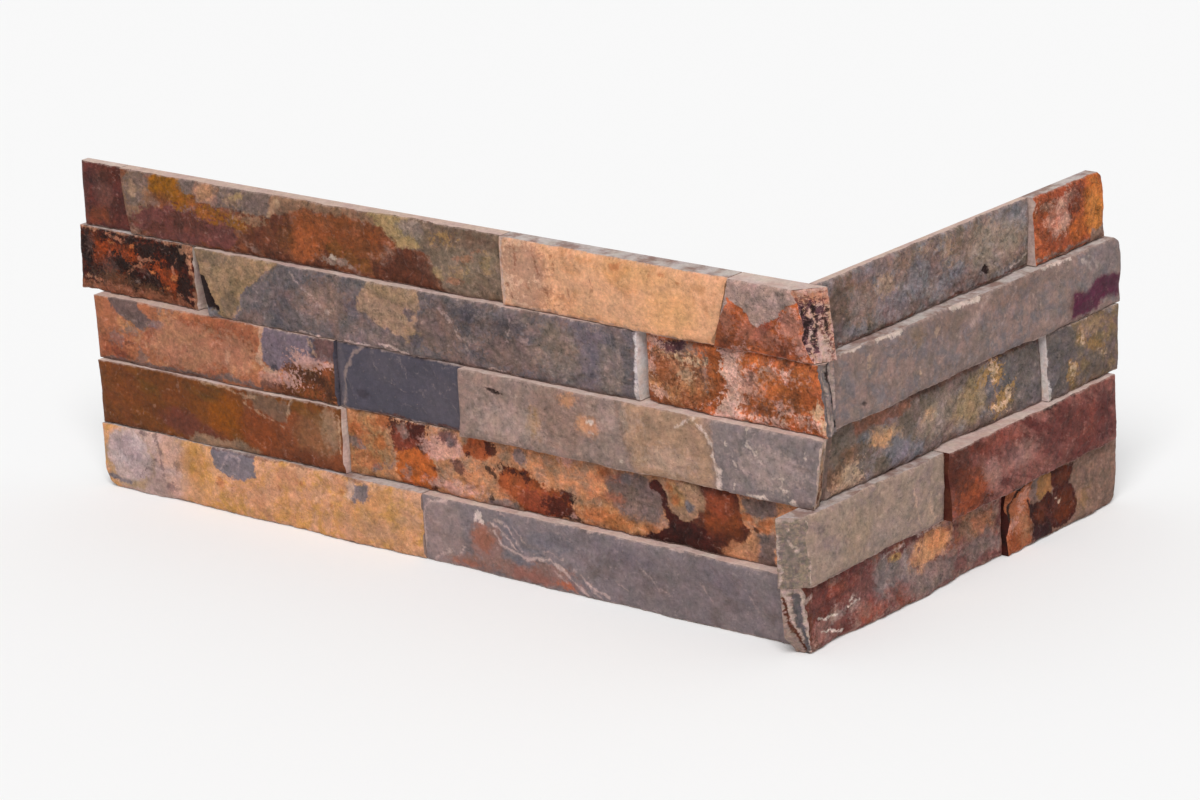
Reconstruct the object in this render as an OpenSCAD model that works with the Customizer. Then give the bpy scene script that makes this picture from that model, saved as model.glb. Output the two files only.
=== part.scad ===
// Corner piece of split-slate wall cladding: five courses of sawn strips, glued one on another in an L.
// The wall's outside corner is the Z axis. The long leg runs along -X, the short leg along +Y.
// Every strip is sawn on its back, top and bottom, and riven on its face.
// The corner stones of courses 3 to 5 belong to the long leg and run past the short one.
// Those of courses 1 and 2 belong to the short leg and run past the long one, so the legs interlock.

/* [Panel] */
// Nominal length of the long leg, from the wall's corner
long_leg = 394; // [330:1:600]
// Nominal length of the short leg, from the wall's corner
short_leg = 198; // [160:1:400]
// Height of a course, with the adhesive bed above it
course_pitch = 30; // [24:0.5:45]
// Thickness of an adhesive bed
bed = 0.4; // [0.2:0.1:1]
// Open joint between two stones of a course
butt_gap = 0.5; // [0.2:0.1:1.5]

/* [Adhesive] */
// Width of the bead of adhesive that runs along each bed
bead_w = 1.8; // [1:0.1:2]
// How far the bead stays clear of the backs
bead_inset = 0.4; // [0.2:0.1:0.6]
// How far the bead stops short of the courses' free ends
bead_stop = 12; // [10:1:30]

/* [Riven stone] */
// Deepest hollow in a split face
riven_depth = 2.4; // [0.5:0.1:3]
// Thickness of one leaf of the slate, the step between its terraces
leaf = 0.75; // [0.4:0.05:1.5]
// Length of the swells across a split face
swell = 30; // [18:1:60]
// How far the broken arrises fall back from the face
chip = 1.5; // [0.4:0.1:2.5]
// Width of the broken arris
arris = 1.7; // [1:0.1:3]
// Depth of the ridges on a layered end
ridge = 1.4; // [0.3:0.1:2]
// Thickness of the layers that show on such an end
layer = 1.9; // [1.5:0.1:3]
// Spacing of the points on a face
grain = 6; // [5:0.5:10]

/* [Course 5, the top] */
// How far the free end of the long leg runs past its nominal length
c5_long_over = 9; // [-5:0.5:15]
// Length of the long leg's end stone
c5_long_1_len = 28; // [20:1:60]
// Length of the stone beside the corner stone
c5_long_3_len = 117; // [60:1:140]
// Length of the corner stone, from the wall's corner back
c5_quoin_len = 36.5; // [30:0.5:60]
// How far the corner stone's back edge runs past the wall's corner
c5_quoin_past = 12; // [8:0.5:20]
// How far the corner stone's end falls back at the face
c5_quoin_splay = 10; // [0:0.5:10]
// How much of that the end regains at its foot
c5_quoin_regain = 5; // [0:0.5:8]
// How much further the corner stone's foot runs than its top
c5_quoin_foot = 3.5; // [0:0.5:6]
// Slant of the joint before the corner stone, from bottom to top
c5_slant = 8; // [0:0.5:10]
// Slant of the joint after the end stone, from top to bottom
c5_end_slant = 4; // [0:0.5:6]
// Thickness of the long leg's end stone
c5_long_1_t = 5.5; // [5:0.5:20]
// Thickness of the long stone
c5_long_2_t = 8.5; // [5:0.5:20]
// Thickness of the stone beside the corner stone, at its thin end
c5_long_3_t = 10; // [5:0.5:20]
// Thickness of the corner stone
c5_quoin_t = 12.5; // [6:0.5:20]
// Thickness of the short leg's long stone
c5_short_1_t = 5; // [5:0.5:20]
// How far the free end of the short leg runs past its nominal length
c5_short_over = 4; // [-5:0.5:15]
// Length of the short leg's end stone
c5_short_2_len = 53; // [25:1:90]
// Thickness of the short leg's end stone
c5_short_2_t = 8; // [5:0.5:20]

/* [Course 4] */
// How far the free end of the long leg runs past its nominal length
c4_long_over = 12.5; // [-5:0.5:15]
// Length of the long leg's end stone
c4_long_1_len = 72; // [40:0.5:110]
// How much further the end stone's foot runs than its top, at the free end
c4_long_foot = 1.2; // [0:0.1:3]
// Width at the face of the broken wedge after the end stone, at its top
c4_wedge_top = 3; // [1:0.5:6]
// Width at the face of the broken wedge after the end stone, at its foot
c4_wedge_foot = 12; // [6:0.5:16]
// Length of the corner stone, from the wall's corner back
c4_quoin_len = 78.5; // [50:0.5:110]
// Width of the open joint before the corner stone
c4_quoin_gap = 3.2; // [0.5:0.1:6]
// How far the corner stone runs past the wall's corner
c4_quoin_past = 12; // [8:0.5:20]
// How much further the corner stone's face runs at its foot
c4_quoin_foot = 4.5; // [0:0.5:6]
// Thickness of the long leg's end stone
c4_long_1_t = 8; // [5:0.5:20]
// Thickness of the long stone
c4_long_2_t = 11.5; // [5:0.5:20]
// Thickness of the corner stone at its joint
c4_quoin_joint_t = 9; // [6:0.5:20]
// Thickness of the corner stone at the corner
c4_quoin_t = 11; // [6:0.5:20]
// How far the free end of the short leg runs past its nominal length
c4_short_over = 10.5; // [-5:0.5:15]
// Thickness of the short leg's stone
c4_short_1_t = 12; // [5:0.5:20]

/* [Course 3] */
// How far the free end of the long leg runs past its nominal length
c3_long_over = 1; // [-5:0.5:15]
// Length of the long leg's end stone
c3_long_1_len = 145; // [70:1:150]
// Length of the next stone
c3_long_2_len = 73; // [40:1:90]
// How far the corner stone's back edge runs past the wall's corner
c3_quoin_past = 7.5; // [6:0.5:20]
// How far the corner stone's end overhangs at the face
c3_quoin_splay = 6; // [0:0.5:8]
// How much further the corner stone's top runs than its foot
c3_quoin_top = 5.5; // [0:0.5:7]
// Thickness of the long leg's end stone, at its free end
c3_long_1_t = 13.5; // [5:0.5:20]
// Thickness of the long leg's end stone, at its joint
c3_long_1_joint_t = 11.5; // [5:0.5:20]
// Thickness of the next stone
c3_long_2_t = 10.5; // [5:0.5:20]
// Thickness of the corner stone
c3_quoin_t = 14.5; // [6:0.5:20]
// How far the free end of the short leg runs past its nominal length
c3_short_over = 8.5; // [-5:0.5:15]
// Length of the short leg's end stone
c3_short_2_len = 54; // [25:1:90]
// Thickness of the short leg's long stone
c3_short_1_t = 7; // [5:0.5:20]
// Thickness of the short leg's end stone
c3_short_2_t = 12; // [5:0.5:20]

/* [Course 2] */
// How far the free end of the long leg runs past its nominal length
c2_long_over = 0; // [-5:0.5:15]
// Length of the long leg's end stone
c2_long_1_len = 147; // [80:1:200]
// Thickness of the long leg's end stone, at its free end
c2_long_1_t = 15; // [5:0.5:20]
// Thickness of the long leg's end stone, at its joint
c2_long_1_joint_t = 13; // [5:0.5:20]
// Thickness of the next stone
c2_long_2_t = 10; // [5:0.5:20]
// Length of the corner stone, from the wall's corner on
c2_quoin_len = 75; // [40:1:110]
// How far the corner stone's end stands in front of the long leg's face
c2_quoin_proud = 11; // [2:0.5:16]
// How far the corner stone's end runs on towards its back
c2_quoin_splay = 7; // [0:0.5:8]
// Thickness of the corner stone
c2_quoin_t = 12; // [6:0.5:20]
// How far the free end of the short leg runs past its nominal length
c2_short_over = 2.5; // [-5:0.5:15]
// Thickness of the short leg's end stone
c2_short_1_t = 15; // [5:0.5:20]

/* [Course 1, the bottom] */
// How far the free end of the long leg runs past its nominal length
c1_long_over = 0.5; // [-5:0.5:15]
// Length of the long leg's end stone
c1_long_1_len = 193; // [100:1:250]
// Thickness of the long leg's end stone
c1_long_1_t = 14.5; // [5:0.5:20]
// Thickness of the next stone
c1_long_2_t = 14.5; // [5:0.5:20]
// How far the corner stone's end stands in front of the long leg's face
c1_quoin_proud = 4.5; // [2:0.5:16]
// How far the corner stone's end runs on towards its back
c1_quoin_splay = 5; // [0:0.5:8]
// How much further the corner stone's end runs at its top than at its foot
c1_quoin_top = 2.5; // [0:0.5:5]
// Height of the piece broken off the foot of the corner stone's end
c1_broken_h = 8; // [4:0.5:12]
// How far that break goes in, at the back
c1_broken_d = 7; // [2:0.5:10]
// Thickness of the corner stone
c1_quoin_t = 8.5; // [6:0.5:20]
// How far the free end of the short leg runs past its nominal length
c1_short_over = 7.5; // [-5:0.5:15]
// Length of the short leg's end stone
c1_short_1_len = 84.5; // [40:0.5:110]
// Thickness of the short leg's end stone
c1_short_1_t = 11; // [5:0.5:20]

/* [Worn corners] */
// Radius of the lost corner at the foot of the long leg
long_foot_r = 6.5; // [1:0.5:12]
// Radius of the worn corners at the short leg's end
short_end_r = 4.5; // [1:0.5:10]

/* [Hidden] */

// Height of a stone
stone_h = course_pitch - bed;
// Rows of points between the two arrises of a face
face_rows = 4;
// How far the points of a face stray from their even spacing
stray = 0.28;
// Largest part of a stone's thickness that its hollows or its chips may take
worn_share = 0.22;

// The joints of each course, from the wall's corner: negative on the long leg, positive on the short one
c5_end = -long_leg - c5_long_over;
c5_joint_1 = c5_end + c5_long_1_len;
c5_joint_3 = -c5_quoin_len;
c5_joint_2 = c5_joint_3 - c5_long_3_len;
c5_short_end = short_leg + c5_short_over;
c5_short_joint = c5_short_end - c5_short_2_len;

c4_end = -long_leg - c4_long_over;
c4_joint_1 = c4_end + c4_long_1_len;
c4_joint_2 = -c4_quoin_len;
c4_short_end = short_leg + c4_short_over;

c3_end = -long_leg - c3_long_over;
c3_joint_1 = c3_end + c3_long_1_len;
c3_joint_2 = c3_joint_1 + c3_long_2_len;
c3_short_end = short_leg + c3_short_over;
c3_short_joint = c3_short_end - c3_short_2_len;

c2_end = -long_leg - c2_long_over;
c2_joint_1 = c2_end + c2_long_1_len;
c2_short_end = short_leg + c2_short_over;

c1_end = -long_leg - c1_long_over;
c1_joint_1 = c1_end + c1_long_1_len;
c1_short_end = short_leg + c1_short_over;
c1_short_joint = c1_short_end - c1_short_1_len;

// Riven slate

function mix(a, b, f) = a + (b - a) * f;
function ease(f) = f * f * (3 - 2 * f);
function clamp(x, low, high) = max(low, min(high, x));
function chance(seed, i, j) = rands(0, 1, 1, seed * 997 + i * 57 + j * 1031)[0];

// Height, 0 to 1, of a smooth random sheet at x, y, with one random value a cell
function sheet(x, y, seed) =
    let (i = floor(x), j = floor(y), fx = ease(x - i), fy = ease(y - j))
    mix(
        mix(chance(seed, i, j), chance(seed, i + 1, j), fx),
        mix(chance(seed, i, j + 1), chance(seed, i + 1, j + 1), fx),
        fy
    );

// A height broken into flat terraces one leaf apart, with a steep edge between two
function terraced(height) =
    let (n = floor(height / leaf), f = height / leaf - n)
    leaf * (n + ease(clamp((f - 0.35) / 0.3, 0, 1)));

// Depth of the hollows of a split face at s along it and z up it
function hollow(s, z, deepest, seed) =
    terraced(deepest * sheet(s / swell, z / swell * 1.4, seed))
    + 0.35 * leaf * sheet(s / swell * 3.5, z / swell * 3.5, seed + 7);

// Depth lost at a broken arris
function broken(s, z, deepest, seed) = deepest * mix(0.25, 1, sheet(s / 9 + 40, z / 9, seed + 3));

// Shortfall of an end at height z, where a corner of radius r is worn off its foot or its top
function worn(z, foot_r, top_r) =
    let (low = max(0, foot_r - z), high = max(0, top_r - (stone_h - z)))
    foot_r - sqrt(max(0, foot_r * foot_r - low * low)) + top_r - sqrt(max(0, top_r * top_r - high * high));

// Shortfall of an end whose foot is broken off: most at the back, out = 0, and little at the face
function fallen(z, out, high, deep) = deep * max(0, 1 - z / high) * (1 - 0.8 * clamp(out, 0, 1));

// Offset of a layered end: each layer of the slate breaks a little further out or in
function ragged(depth, z, seed) =
    ridge * (chance(seed + 11, round(depth / layer), 0) - 1)
    + ridge * 0.5 * (sheet(depth / layer * 0.7, z / 7, seed + 13) - 1);

// One stone along X, from a to b, with its sawn back on the XZ plane and its riven face towards -Y.
// ta, tb are its thicknesses at a and b. Each end can lean (its top runs on by lean), splay (its face
// edge runs on by splay), be layered (broken, not sawn) and have worn corners [foot radius, top radius].
// An end can also twist: it leans by twist at its face and stays upright at its back.
// End a can have the back of its foot broken off, by a height and a depth.
module stone(a, b, ta, tb, seed, lean_a = 0, lean_b = 0, splay_a = 0, splay_b = 0,
             layered_a = false, layered_b = false, worn_a = [0, 0], worn_b = [0, 0],
             twist_a = 0, twist_b = 0, broken_a = [1, 0]) {
    length = b - a;
    columns = max(2, ceil((length - 2 * arris) / grain));
    across_a = layered_a ? ceil(ta / layer) : 1;
    across_b = layered_b ? ceil(tb / layer) : 1;
    along = concat([0], [for (i = [0:columns]) mix(arris / length, 1 - arris / length, i / columns)], [1]);
    up = concat([0], [for (j = [0:face_rows]) mix(arris, stone_h - arris, j / face_rows)], [stone_h]);
    // The skin goes from the back over one end, the face and the other end to the back: [along, out]
    skin = concat(
        [for (k = [0:across_a - 1]) [0, k / across_a]],
        [for (u = along) [u, 1]],
        [for (k = [1:across_b]) [1, 1 - k / across_b]]
    );
    last = len(skin) - 1;
    top = len(up) - 1;

    function end_a(z, d) =
        a + lean_a * (z / stone_h - 0.5) + (splay_a + twist_a * (z / stone_h - 0.5)) * d / ta
        + worn(z, worn_a[0], worn_a[1]) + fallen(z, d / ta, broken_a[0], broken_a[1]);
    function end_b(z, d) =
        b + lean_b * (z / stone_h - 0.5) + (splay_b + twist_b * (z / stone_h - 0.5)) * d / tb
        - worn(z, worn_b[0], worn_b[1]);
    function point(k, j) =
        let (
            u = skin[k][0],
            out = skin[k][1],
            inside = u > 0 && u < 1 && j > 0 && j < top,
            free = inside && u > along[1] && u < along[columns + 1] && j > 1 && j < top - 1,
            shift = free ? stray * (chance(seed, k, j) - 0.5) * 2 : 0,
            rise = free ? stray * (chance(seed + 1, k, j) - 0.5) * 2 : 0,
            z = up[j] + rise * (stone_h - 2 * arris) / face_rows,
            t = mix(ta, tb, u),
            s = mix(end_a(z, t), end_b(z, t), u) + shift * grain,
            deepest = min(riven_depth, t * worn_share),
            lost = inside ? 0 : broken(s, z, min(chip, t * worn_share), seed),
            d = out * (t - hollow(s, z, deepest, seed) - lost),
            layered = u == 0 ? layered_a : layered_b,
            rough = layered && !inside && (u == 0 || u == 1) && out > 0 ? ragged(d, z, seed) : 0,
            x = u == 0 ? end_a(z, d) - rough : u == 1 ? end_b(z, d) + rough : s
        )
        [x, -d, z];
    // Column k of the skin, which closes on itself across the back
    function at(k, j) = (k % (last + 1)) * (top + 1) + j;

    polyhedron(
        points = [for (k = [0:last]) for (j = [0:top]) point(k, j)],
        faces = concat(
            [for (k = [0:last]) for (j = [0:top - 1]) [at(k, j), at(k, j + 1), at(k + 1, j + 1)]],
            [for (k = [0:last]) for (j = [0:top - 1]) [at(k, j), at(k + 1, j + 1), at(k + 1, j)]],
            [[for (k = [0:last]) at(k, 0)]],
            [[for (k = [last:-1:0]) at(k, top)]]
        ),
        convexity = 6
    );
}

module in_course(n) {
    translate([0, 0, (n - 1) * course_pitch])
    children();
}

// The short leg is the same construction, turned to run along +Y with its face towards +X
module in_short_course(n) {
    in_course(n)
    rotate([0, 0, 90])
    children();
}

// Course 5, the top

module course_5_long_stone_1() {
    color("#5c3a36")
    in_course(5)
    stone(c5_end, c5_joint_1 - butt_gap, c5_long_1_t, c5_long_1_t, 51, lean_b = -c5_end_slant);
}

module course_5_long_stone_2() {
    color("#7c6150")
    in_course(5)
    stone(c5_joint_1, c5_joint_2 - butt_gap, c5_long_2_t, c5_long_2_t, 52, lean_a = -c5_end_slant);
}

module course_5_long_stone_3() {
    color("#c08f60")
    in_course(5)
    stone(c5_joint_2, c5_joint_3 - butt_gap, c5_long_3_t, c5_quoin_t, 53, lean_b = c5_slant);
}

module course_5_corner_stone() {
    color("#94563f")
    in_course(5)
    stone(c5_joint_3, c5_quoin_past, c5_quoin_t, c5_quoin_t, 54,
          lean_a = c5_slant, lean_b = -c5_quoin_foot, layered_b = true,
          splay_b = c5_quoin_regain / 2 - c5_quoin_splay, twist_b = -c5_quoin_regain);
}

module course_5_short_stone_1() {
    color("#5f5a54")
    in_short_course(5)
    stone(butt_gap, c5_short_joint - butt_gap, c5_short_1_t, c5_short_1_t, 55);
}

module course_5_short_stone_2() {
    color("#b4623f")
    in_short_course(5)
    stone(c5_short_joint, c5_short_end, c5_short_2_t, c5_short_2_t, 56, worn_b = [0, short_end_r]);
}

// Course 4

module course_4_long_stone_1() {
    color("#6b4339")
    in_course(4)
    stone(c4_end, c4_joint_1, c4_long_1_t, c4_long_1_t, 41, lean_a = c4_long_foot);
}

module course_4_long_stone_2() {
    color("#7d7266")
    in_course(4)
    stone(c4_joint_1 + butt_gap, c4_joint_2 - c4_quoin_gap, c4_long_2_t, c4_long_2_t, 42,
          splay_a = (c4_wedge_top + c4_wedge_foot) / 2 - butt_gap, twist_a = c4_wedge_top - c4_wedge_foot);
}

module course_4_corner_stone() {
    color("#a5573b")
    in_course(4)
    stone(c4_joint_2, c4_quoin_past, c4_quoin_joint_t, c4_quoin_t, 43,
          splay_b = c4_quoin_foot / 2, twist_b = -c4_quoin_foot, layered_b = true);
}

module course_4_short_stone_1() {
    color("#8a8078")
    in_short_course(4)
    stone(butt_gap, c4_short_end, c4_short_1_t, c4_short_1_t, 44, worn_b = [0, short_end_r]);
}

// Course 3

module course_3_long_stone_1() {
    color("#b97e5c")
    in_course(3)
    stone(c3_end, c3_joint_1 - butt_gap, c3_long_1_t, c3_long_1_joint_t, 31);
}

module course_3_long_stone_2() {
    color("#57545b")
    in_course(3)
    stone(c3_joint_1, c3_joint_2 - butt_gap, c3_long_2_t, c3_long_2_t, 32);
}

module course_3_corner_stone() {
    color("#8f8072")
    in_course(3)
    stone(c3_joint_2, c3_quoin_past, c3_quoin_t, c3_quoin_t, 33,
          lean_b = c3_quoin_top, splay_b = c3_quoin_splay, layered_b = true);
}

module course_3_short_stone_1() {
    color("#6b6152")
    in_short_course(3)
    stone(butt_gap, c3_short_joint - butt_gap, c3_short_1_t, c3_short_1_t, 34);
}

module course_3_short_stone_2() {
    color("#7b7668")
    in_short_course(3)
    stone(c3_short_joint, c3_short_end, c3_short_2_t, c3_short_2_t, 35);
}

// Course 2

module course_2_long_stone_1() {
    color("#7d5633")
    in_course(2)
    stone(c2_end, c2_joint_1 - butt_gap, c2_long_1_t, c2_long_1_joint_t, 21);
}

module course_2_long_stone_2() {
    color("#a9653f")
    in_course(2)
    stone(c2_joint_1, -butt_gap, c2_long_2_t, c2_long_2_t, 22);
}

module course_2_corner_stone() {
    color("#89806d")
    in_short_course(2)
    stone(-c2_long_2_t - c2_quoin_proud - c2_quoin_splay, c2_quoin_len - butt_gap,
          c2_quoin_t, c2_quoin_t, 23, splay_a = c2_quoin_splay, layered_a = true);
}

module course_2_short_stone_1() {
    color("#744139")
    in_short_course(2)
    stone(c2_quoin_len, c2_short_end, c2_short_1_t, c2_short_1_t, 24);
}

// Course 1, the bottom

module course_1_long_stone_1() {
    color("#c59b60")
    in_course(1)
    stone(c1_end, c1_joint_1 - butt_gap, c1_long_1_t, c1_long_1_t, 11, worn_a = [long_foot_r, 0]);
}

module course_1_long_stone_2() {
    color("#7d7578")
    in_course(1)
    stone(c1_joint_1, -butt_gap, c1_long_2_t, c1_long_2_t, 12);
}

module course_1_corner_stone() {
    color("#774a3f")
    in_short_course(1)
    stone(-c1_long_2_t - c1_quoin_proud - c1_quoin_splay - c1_quoin_top / 2, c1_short_joint - butt_gap,
          c1_quoin_t, c1_quoin_t, 13, lean_a = -c1_quoin_top, splay_a = c1_quoin_splay, layered_a = true,
          broken_a = [c1_broken_h, c1_broken_d]);
}

module course_1_short_stone_1() {
    color("#8d5a40")
    in_short_course(1)
    stone(c1_short_joint, c1_short_end, c1_short_1_t, c1_short_1_t, 14, worn_b = [short_end_r, 0]);
}

// Adhesive

// The L-shaped bead on top of course n, near the backs, round the wall's corner
module adhesive_bed(n) {
    long_end = -long_leg + bead_stop;
    short_end = short_leg - bead_stop;
    outer = bead_inset + bead_w;
    color("#8f8578")
    translate([0, 0, n * course_pitch - bed])
    linear_extrude(height = bed)
    polygon([
        [long_end, -outer],
        [outer, -outer],
        [outer, short_end],
        [bead_inset, short_end],
        [bead_inset, -bead_inset],
        [long_end, -bead_inset]
    ]);
}

course_5_long_stone_1();
course_5_long_stone_2();
course_5_long_stone_3();
course_5_corner_stone();
course_5_short_stone_1();
course_5_short_stone_2();
course_4_long_stone_1();
course_4_long_stone_2();
course_4_corner_stone();
course_4_short_stone_1();
course_3_long_stone_1();
course_3_long_stone_2();
course_3_corner_stone();
course_3_short_stone_1();
course_3_short_stone_2();
course_2_long_stone_1();
course_2_long_stone_2();
course_2_corner_stone();
course_2_short_stone_1();
course_1_long_stone_1();
course_1_long_stone_2();
course_1_corner_stone();
course_1_short_stone_1();
adhesive_bed(1);  // adhesive_bed_1
adhesive_bed(2);  // adhesive_bed_2
adhesive_bed(3);  // adhesive_bed_3
adhesive_bed(4);  // adhesive_bed_4
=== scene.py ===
import math
from collections import namedtuple

import bpy
import numpy as np
from mathutils import Matrix, Vector
from mathutils.bvhtree import BVHTree


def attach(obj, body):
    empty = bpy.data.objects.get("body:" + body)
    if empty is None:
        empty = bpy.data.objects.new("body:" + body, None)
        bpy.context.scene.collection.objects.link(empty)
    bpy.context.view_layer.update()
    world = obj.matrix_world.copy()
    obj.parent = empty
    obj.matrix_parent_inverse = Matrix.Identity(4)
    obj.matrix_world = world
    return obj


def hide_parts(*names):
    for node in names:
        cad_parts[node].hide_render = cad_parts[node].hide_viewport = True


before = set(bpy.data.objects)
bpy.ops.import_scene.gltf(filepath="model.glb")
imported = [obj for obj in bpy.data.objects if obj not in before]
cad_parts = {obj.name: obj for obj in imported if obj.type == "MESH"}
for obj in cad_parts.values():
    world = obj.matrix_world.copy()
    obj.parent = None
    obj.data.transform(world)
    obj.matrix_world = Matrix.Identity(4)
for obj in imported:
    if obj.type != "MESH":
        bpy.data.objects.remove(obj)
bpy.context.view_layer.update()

MM = 0.001
COURSE = 30.0
STONE_H = 29.6
GRID_S = 0.65
GRID_Z = 0.6

PALETTE = {
    "maroon": "#693a35",
    "plum": "#5b3636",
    "umber": "#582d1e",
    "brown": "#86634e",
    "bronze": "#8b5410",
    "gold": "#8a4f0c",
    "taupe": "#77615a",
    "moss": "#655549",
    "rust_brown": "#80492f",
    "brick": "#8e4430",
    "sand": "#dba178",
    "dull_sand": "#c89b80",
    "honey": "#cf9650",
    "rust": "#a95a32",
    "orange": "#b5632c",
    "mushroom": "#9d857b",
    # coal is the near-black of dark marks, and also of the painted shadows in an open joint and along a leaf step
    "coal": "#221210",
    "wine": "#441811",
    "ochre": "#a57c46",
    "dull_gold": "#8b7051",
    "slate": "#70625f",
    "ash": "#92796f",
    "dark_grey": "#625a5b",
    "purple_grey": "#6c616b",
    "cream": "#d3ad90",
    "pink": "#d0a498",
    "salmon": "#b3714f",
    "lilac": "#81727b",
    "rose_brown": "#8c6a5e",
    "olive": "#6d4a22",
    "tobacco": "#74451d",
    "blue_grey": "#63595f",
    "ink": "#4d4852",
    "beige": "#88746b",
    "tan": "#a58368",
    "peach": "#c98d63",
    "smoke": "#7e7271",
    "fawn": "#94806f",
    "rose": "#996a60",
    "violet": "#4a2834",
    "pale": "#dcc7b8",
    "dusty": "#d3bcb0",
    "shell": "#c3a89d",
    "sienna": "#86451f",
    "nut": "#6d3f22",
    "straw": "#a98a60",
    "terracotta": "#b8633f",
    "steel": "#69666b",
    "drab": "#765f50",
    "burgundy": "#571a36",
    "oxblood": "#5a2219",
    "chalk": "#dbcfc9",
    "bloom": "#cfb3a3",
    "dust_grey": "#c6b8b1",
}


# How much darker a stone is than its palette colour, which was read in this light
TONE = 0.92


def linear(name):
    """A palette colour as linear red, green, blue and alpha."""
    code = PALETTE[name]
    parts = [int(code[i : i + 2], 16) / 255 for i in (1, 3, 5)]
    return tuple(TONE * (p / 12.92 if p <= 0.04045 else ((p + 0.055) / 1.055) ** 2.4) for p in parts) + (1.0,)


# Node trees written as expressions


class Sock:
    """One output of a node tree, so that node maths reads as plain Python maths."""

    def __init__(self, tree, socket):
        self.tree = tree
        self.socket = socket

    def _do(self, operation, *others):
        return self.tree.put("ShaderNodeMath", {"operation": operation}, [self, *others])

    def __add__(self, other):
        return self._do("ADD", other)

    def __sub__(self, other):
        return self._do("SUBTRACT", other)

    def __mul__(self, other):
        return self._do("MULTIPLY", other)

    def __truediv__(self, other):
        return self._do("DIVIDE", other)

    def __pow__(self, other):
        return self._do("POWER", other)

    def __neg__(self):
        return self._do("MULTIPLY", -1.0)

    def __radd__(self, other):
        return self + other

    def __rmul__(self, other):
        return self * other

    def __rsub__(self, other):
        return self._do("MULTIPLY_ADD", -1.0, other)

    def __rtruediv__(self, other):
        return self.tree.put("ShaderNodeMath", {"operation": "DIVIDE"}, [other, self])

    def plus(self, factor, other):
        """self x factor + other, in one node."""
        return self._do("MULTIPLY_ADD", factor, other)

    def least(self, other):
        return self._do("MINIMUM", other)

    def most(self, other):
        return self._do("MAXIMUM", other)

    def floor(self):
        return self._do("FLOOR")

    def absolute(self):
        return self._do("ABSOLUTE")

    def steps(self, low, high):
        """0 below low, 1 above high, and a smooth rise between them."""
        return self.tree.put(
            "ShaderNodeMapRange",
            {"interpolation_type": "SMOOTHSTEP"},
            {"Value": self, "From Min": low, "From Max": high},
        )

    def spread(self, low, high):
        """From 0 to 1 onto low to high."""
        return self._do("MULTIPLY_ADD", high - low, low)


class Tree:
    """A node tree of either kind, with one way of adding a node."""

    def __init__(self, tree):
        self.tree = tree

    def put(self, kind, settings=None, inputs=(), out=0):
        node = self.tree.nodes.new(kind)
        for name, value in (settings or {}).items():
            setattr(node, name, value)
        pairs = inputs.items() if isinstance(inputs, dict) else enumerate(inputs)
        for name, value in pairs:
            self.feed(node.inputs[name], value)
        return Sock(self, node.outputs[out])

    def feed(self, socket, value):
        if isinstance(value, Sock):
            self.tree.links.new(value.socket, socket)
        else:
            socket.default_value = value

    def vector(self, operation, a, b=None, out=0, scale=None):
        inputs = {0: a}
        if b is not None:
            inputs[1] = b
        if scale is not None:
            inputs["Scale"] = scale
        return self.put("ShaderNodeVectorMath", {"operation": operation}, inputs, out)

    def join(self, x, y, z=0.0):
        return self.put("ShaderNodeCombineXYZ", None, [x, y, z])

    def parts(self, vector):
        node = self.put("ShaderNodeSeparateXYZ", None, [vector]).socket.node
        return [Sock(self, o) for o in node.outputs]

    def noise(self, at, size, detail=2.0, rough=0.5, warp=0.0):
        """Fractal noise with features of that size: its value, and its three colour channels less a half."""
        node = self.put(
            "ShaderNodeTexNoise",
            {"noise_dimensions": "3D"},
            {"Vector": at, "Scale": 1.0 / size, "Detail": detail, "Roughness": rough, "Distortion": warp},
        ).socket.node
        return Sock(self, node.outputs[0]), Sock(self, node.outputs[1])

    def blend(self, factor, low, high, mode="MIX"):
        """Colour low turned into colour high by factor."""
        node = self.tree.nodes.new("ShaderNodeMix")
        node.data_type = "RGBA"
        node.blend_type = mode
        self.feed(node.inputs[0], factor)
        self.feed(node.inputs[6], low)
        self.feed(node.inputs[7], high)
        return Sock(self, node.outputs[2])


# Shapes of the stains and painted shadows, in s and z


def oval(s, z, rs, rz, turn=0):
    return ("oval", s, z, rs, rz, turn)


def line(width, *points):
    return ("line", width, points)


def poly(*corners):
    return ("poly", corners)


Stain = namedtuple("Stain", "colour shapes soft ragged much step")


def stain(colour, *shapes, soft=0.5, ragged=3.0, much=1.0, step=0.0):
    """A mark of a palette colour: mostly a stain, in a few places painted shadow. soft and ragged are its edge's blur
    and tatter, step its height in front.
    """
    return Stain(colour, shapes, soft, ragged, much, step)


def crossing(a, b, c, d):
    """Whether the lines a to b and c to d cross between their ends."""

    def side(p, q, r):
        return (q[0] - p[0]) * (r[1] - p[1]) - (q[1] - p[1]) * (r[0] - p[0])

    return side(a, b, c) * side(a, b, d) < 0 and side(c, d, a) * side(c, d, b) < 0


def area(ring):
    return sum(a[0] * b[1] - b[0] * a[1] for a, b in zip(ring, ring[1:] + ring[:1])) / 2


def convex_parts(ring):
    """A polygon as convex ones. A corner is s, z and the slack of the edge after it, which is 0 on the outline."""
    count = len(ring)
    for i in range(count):
        if area([ring[i - 1], ring[i], ring[(i + 1) % count]]) >= 0:
            continue
        turned = ring[i:] + ring[:i]
        for j in sorted(range(2, count - 1), key=lambda k: math.dist(turned[0][:2], turned[k][:2])):
            if any(crossing(turned[0], turned[j], turned[k], turned[(k + 1) % count]) for k in range(count)):
                continue
            first = turned[:j] + [(*turned[j][:2], 1.2)]
            second = turned[j:] + [(*turned[0][:2], 1.2)]
            if area(first) > 0 and area(second) > 0:
                return convex_parts(first) + convex_parts(second)
    return [ring]


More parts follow.
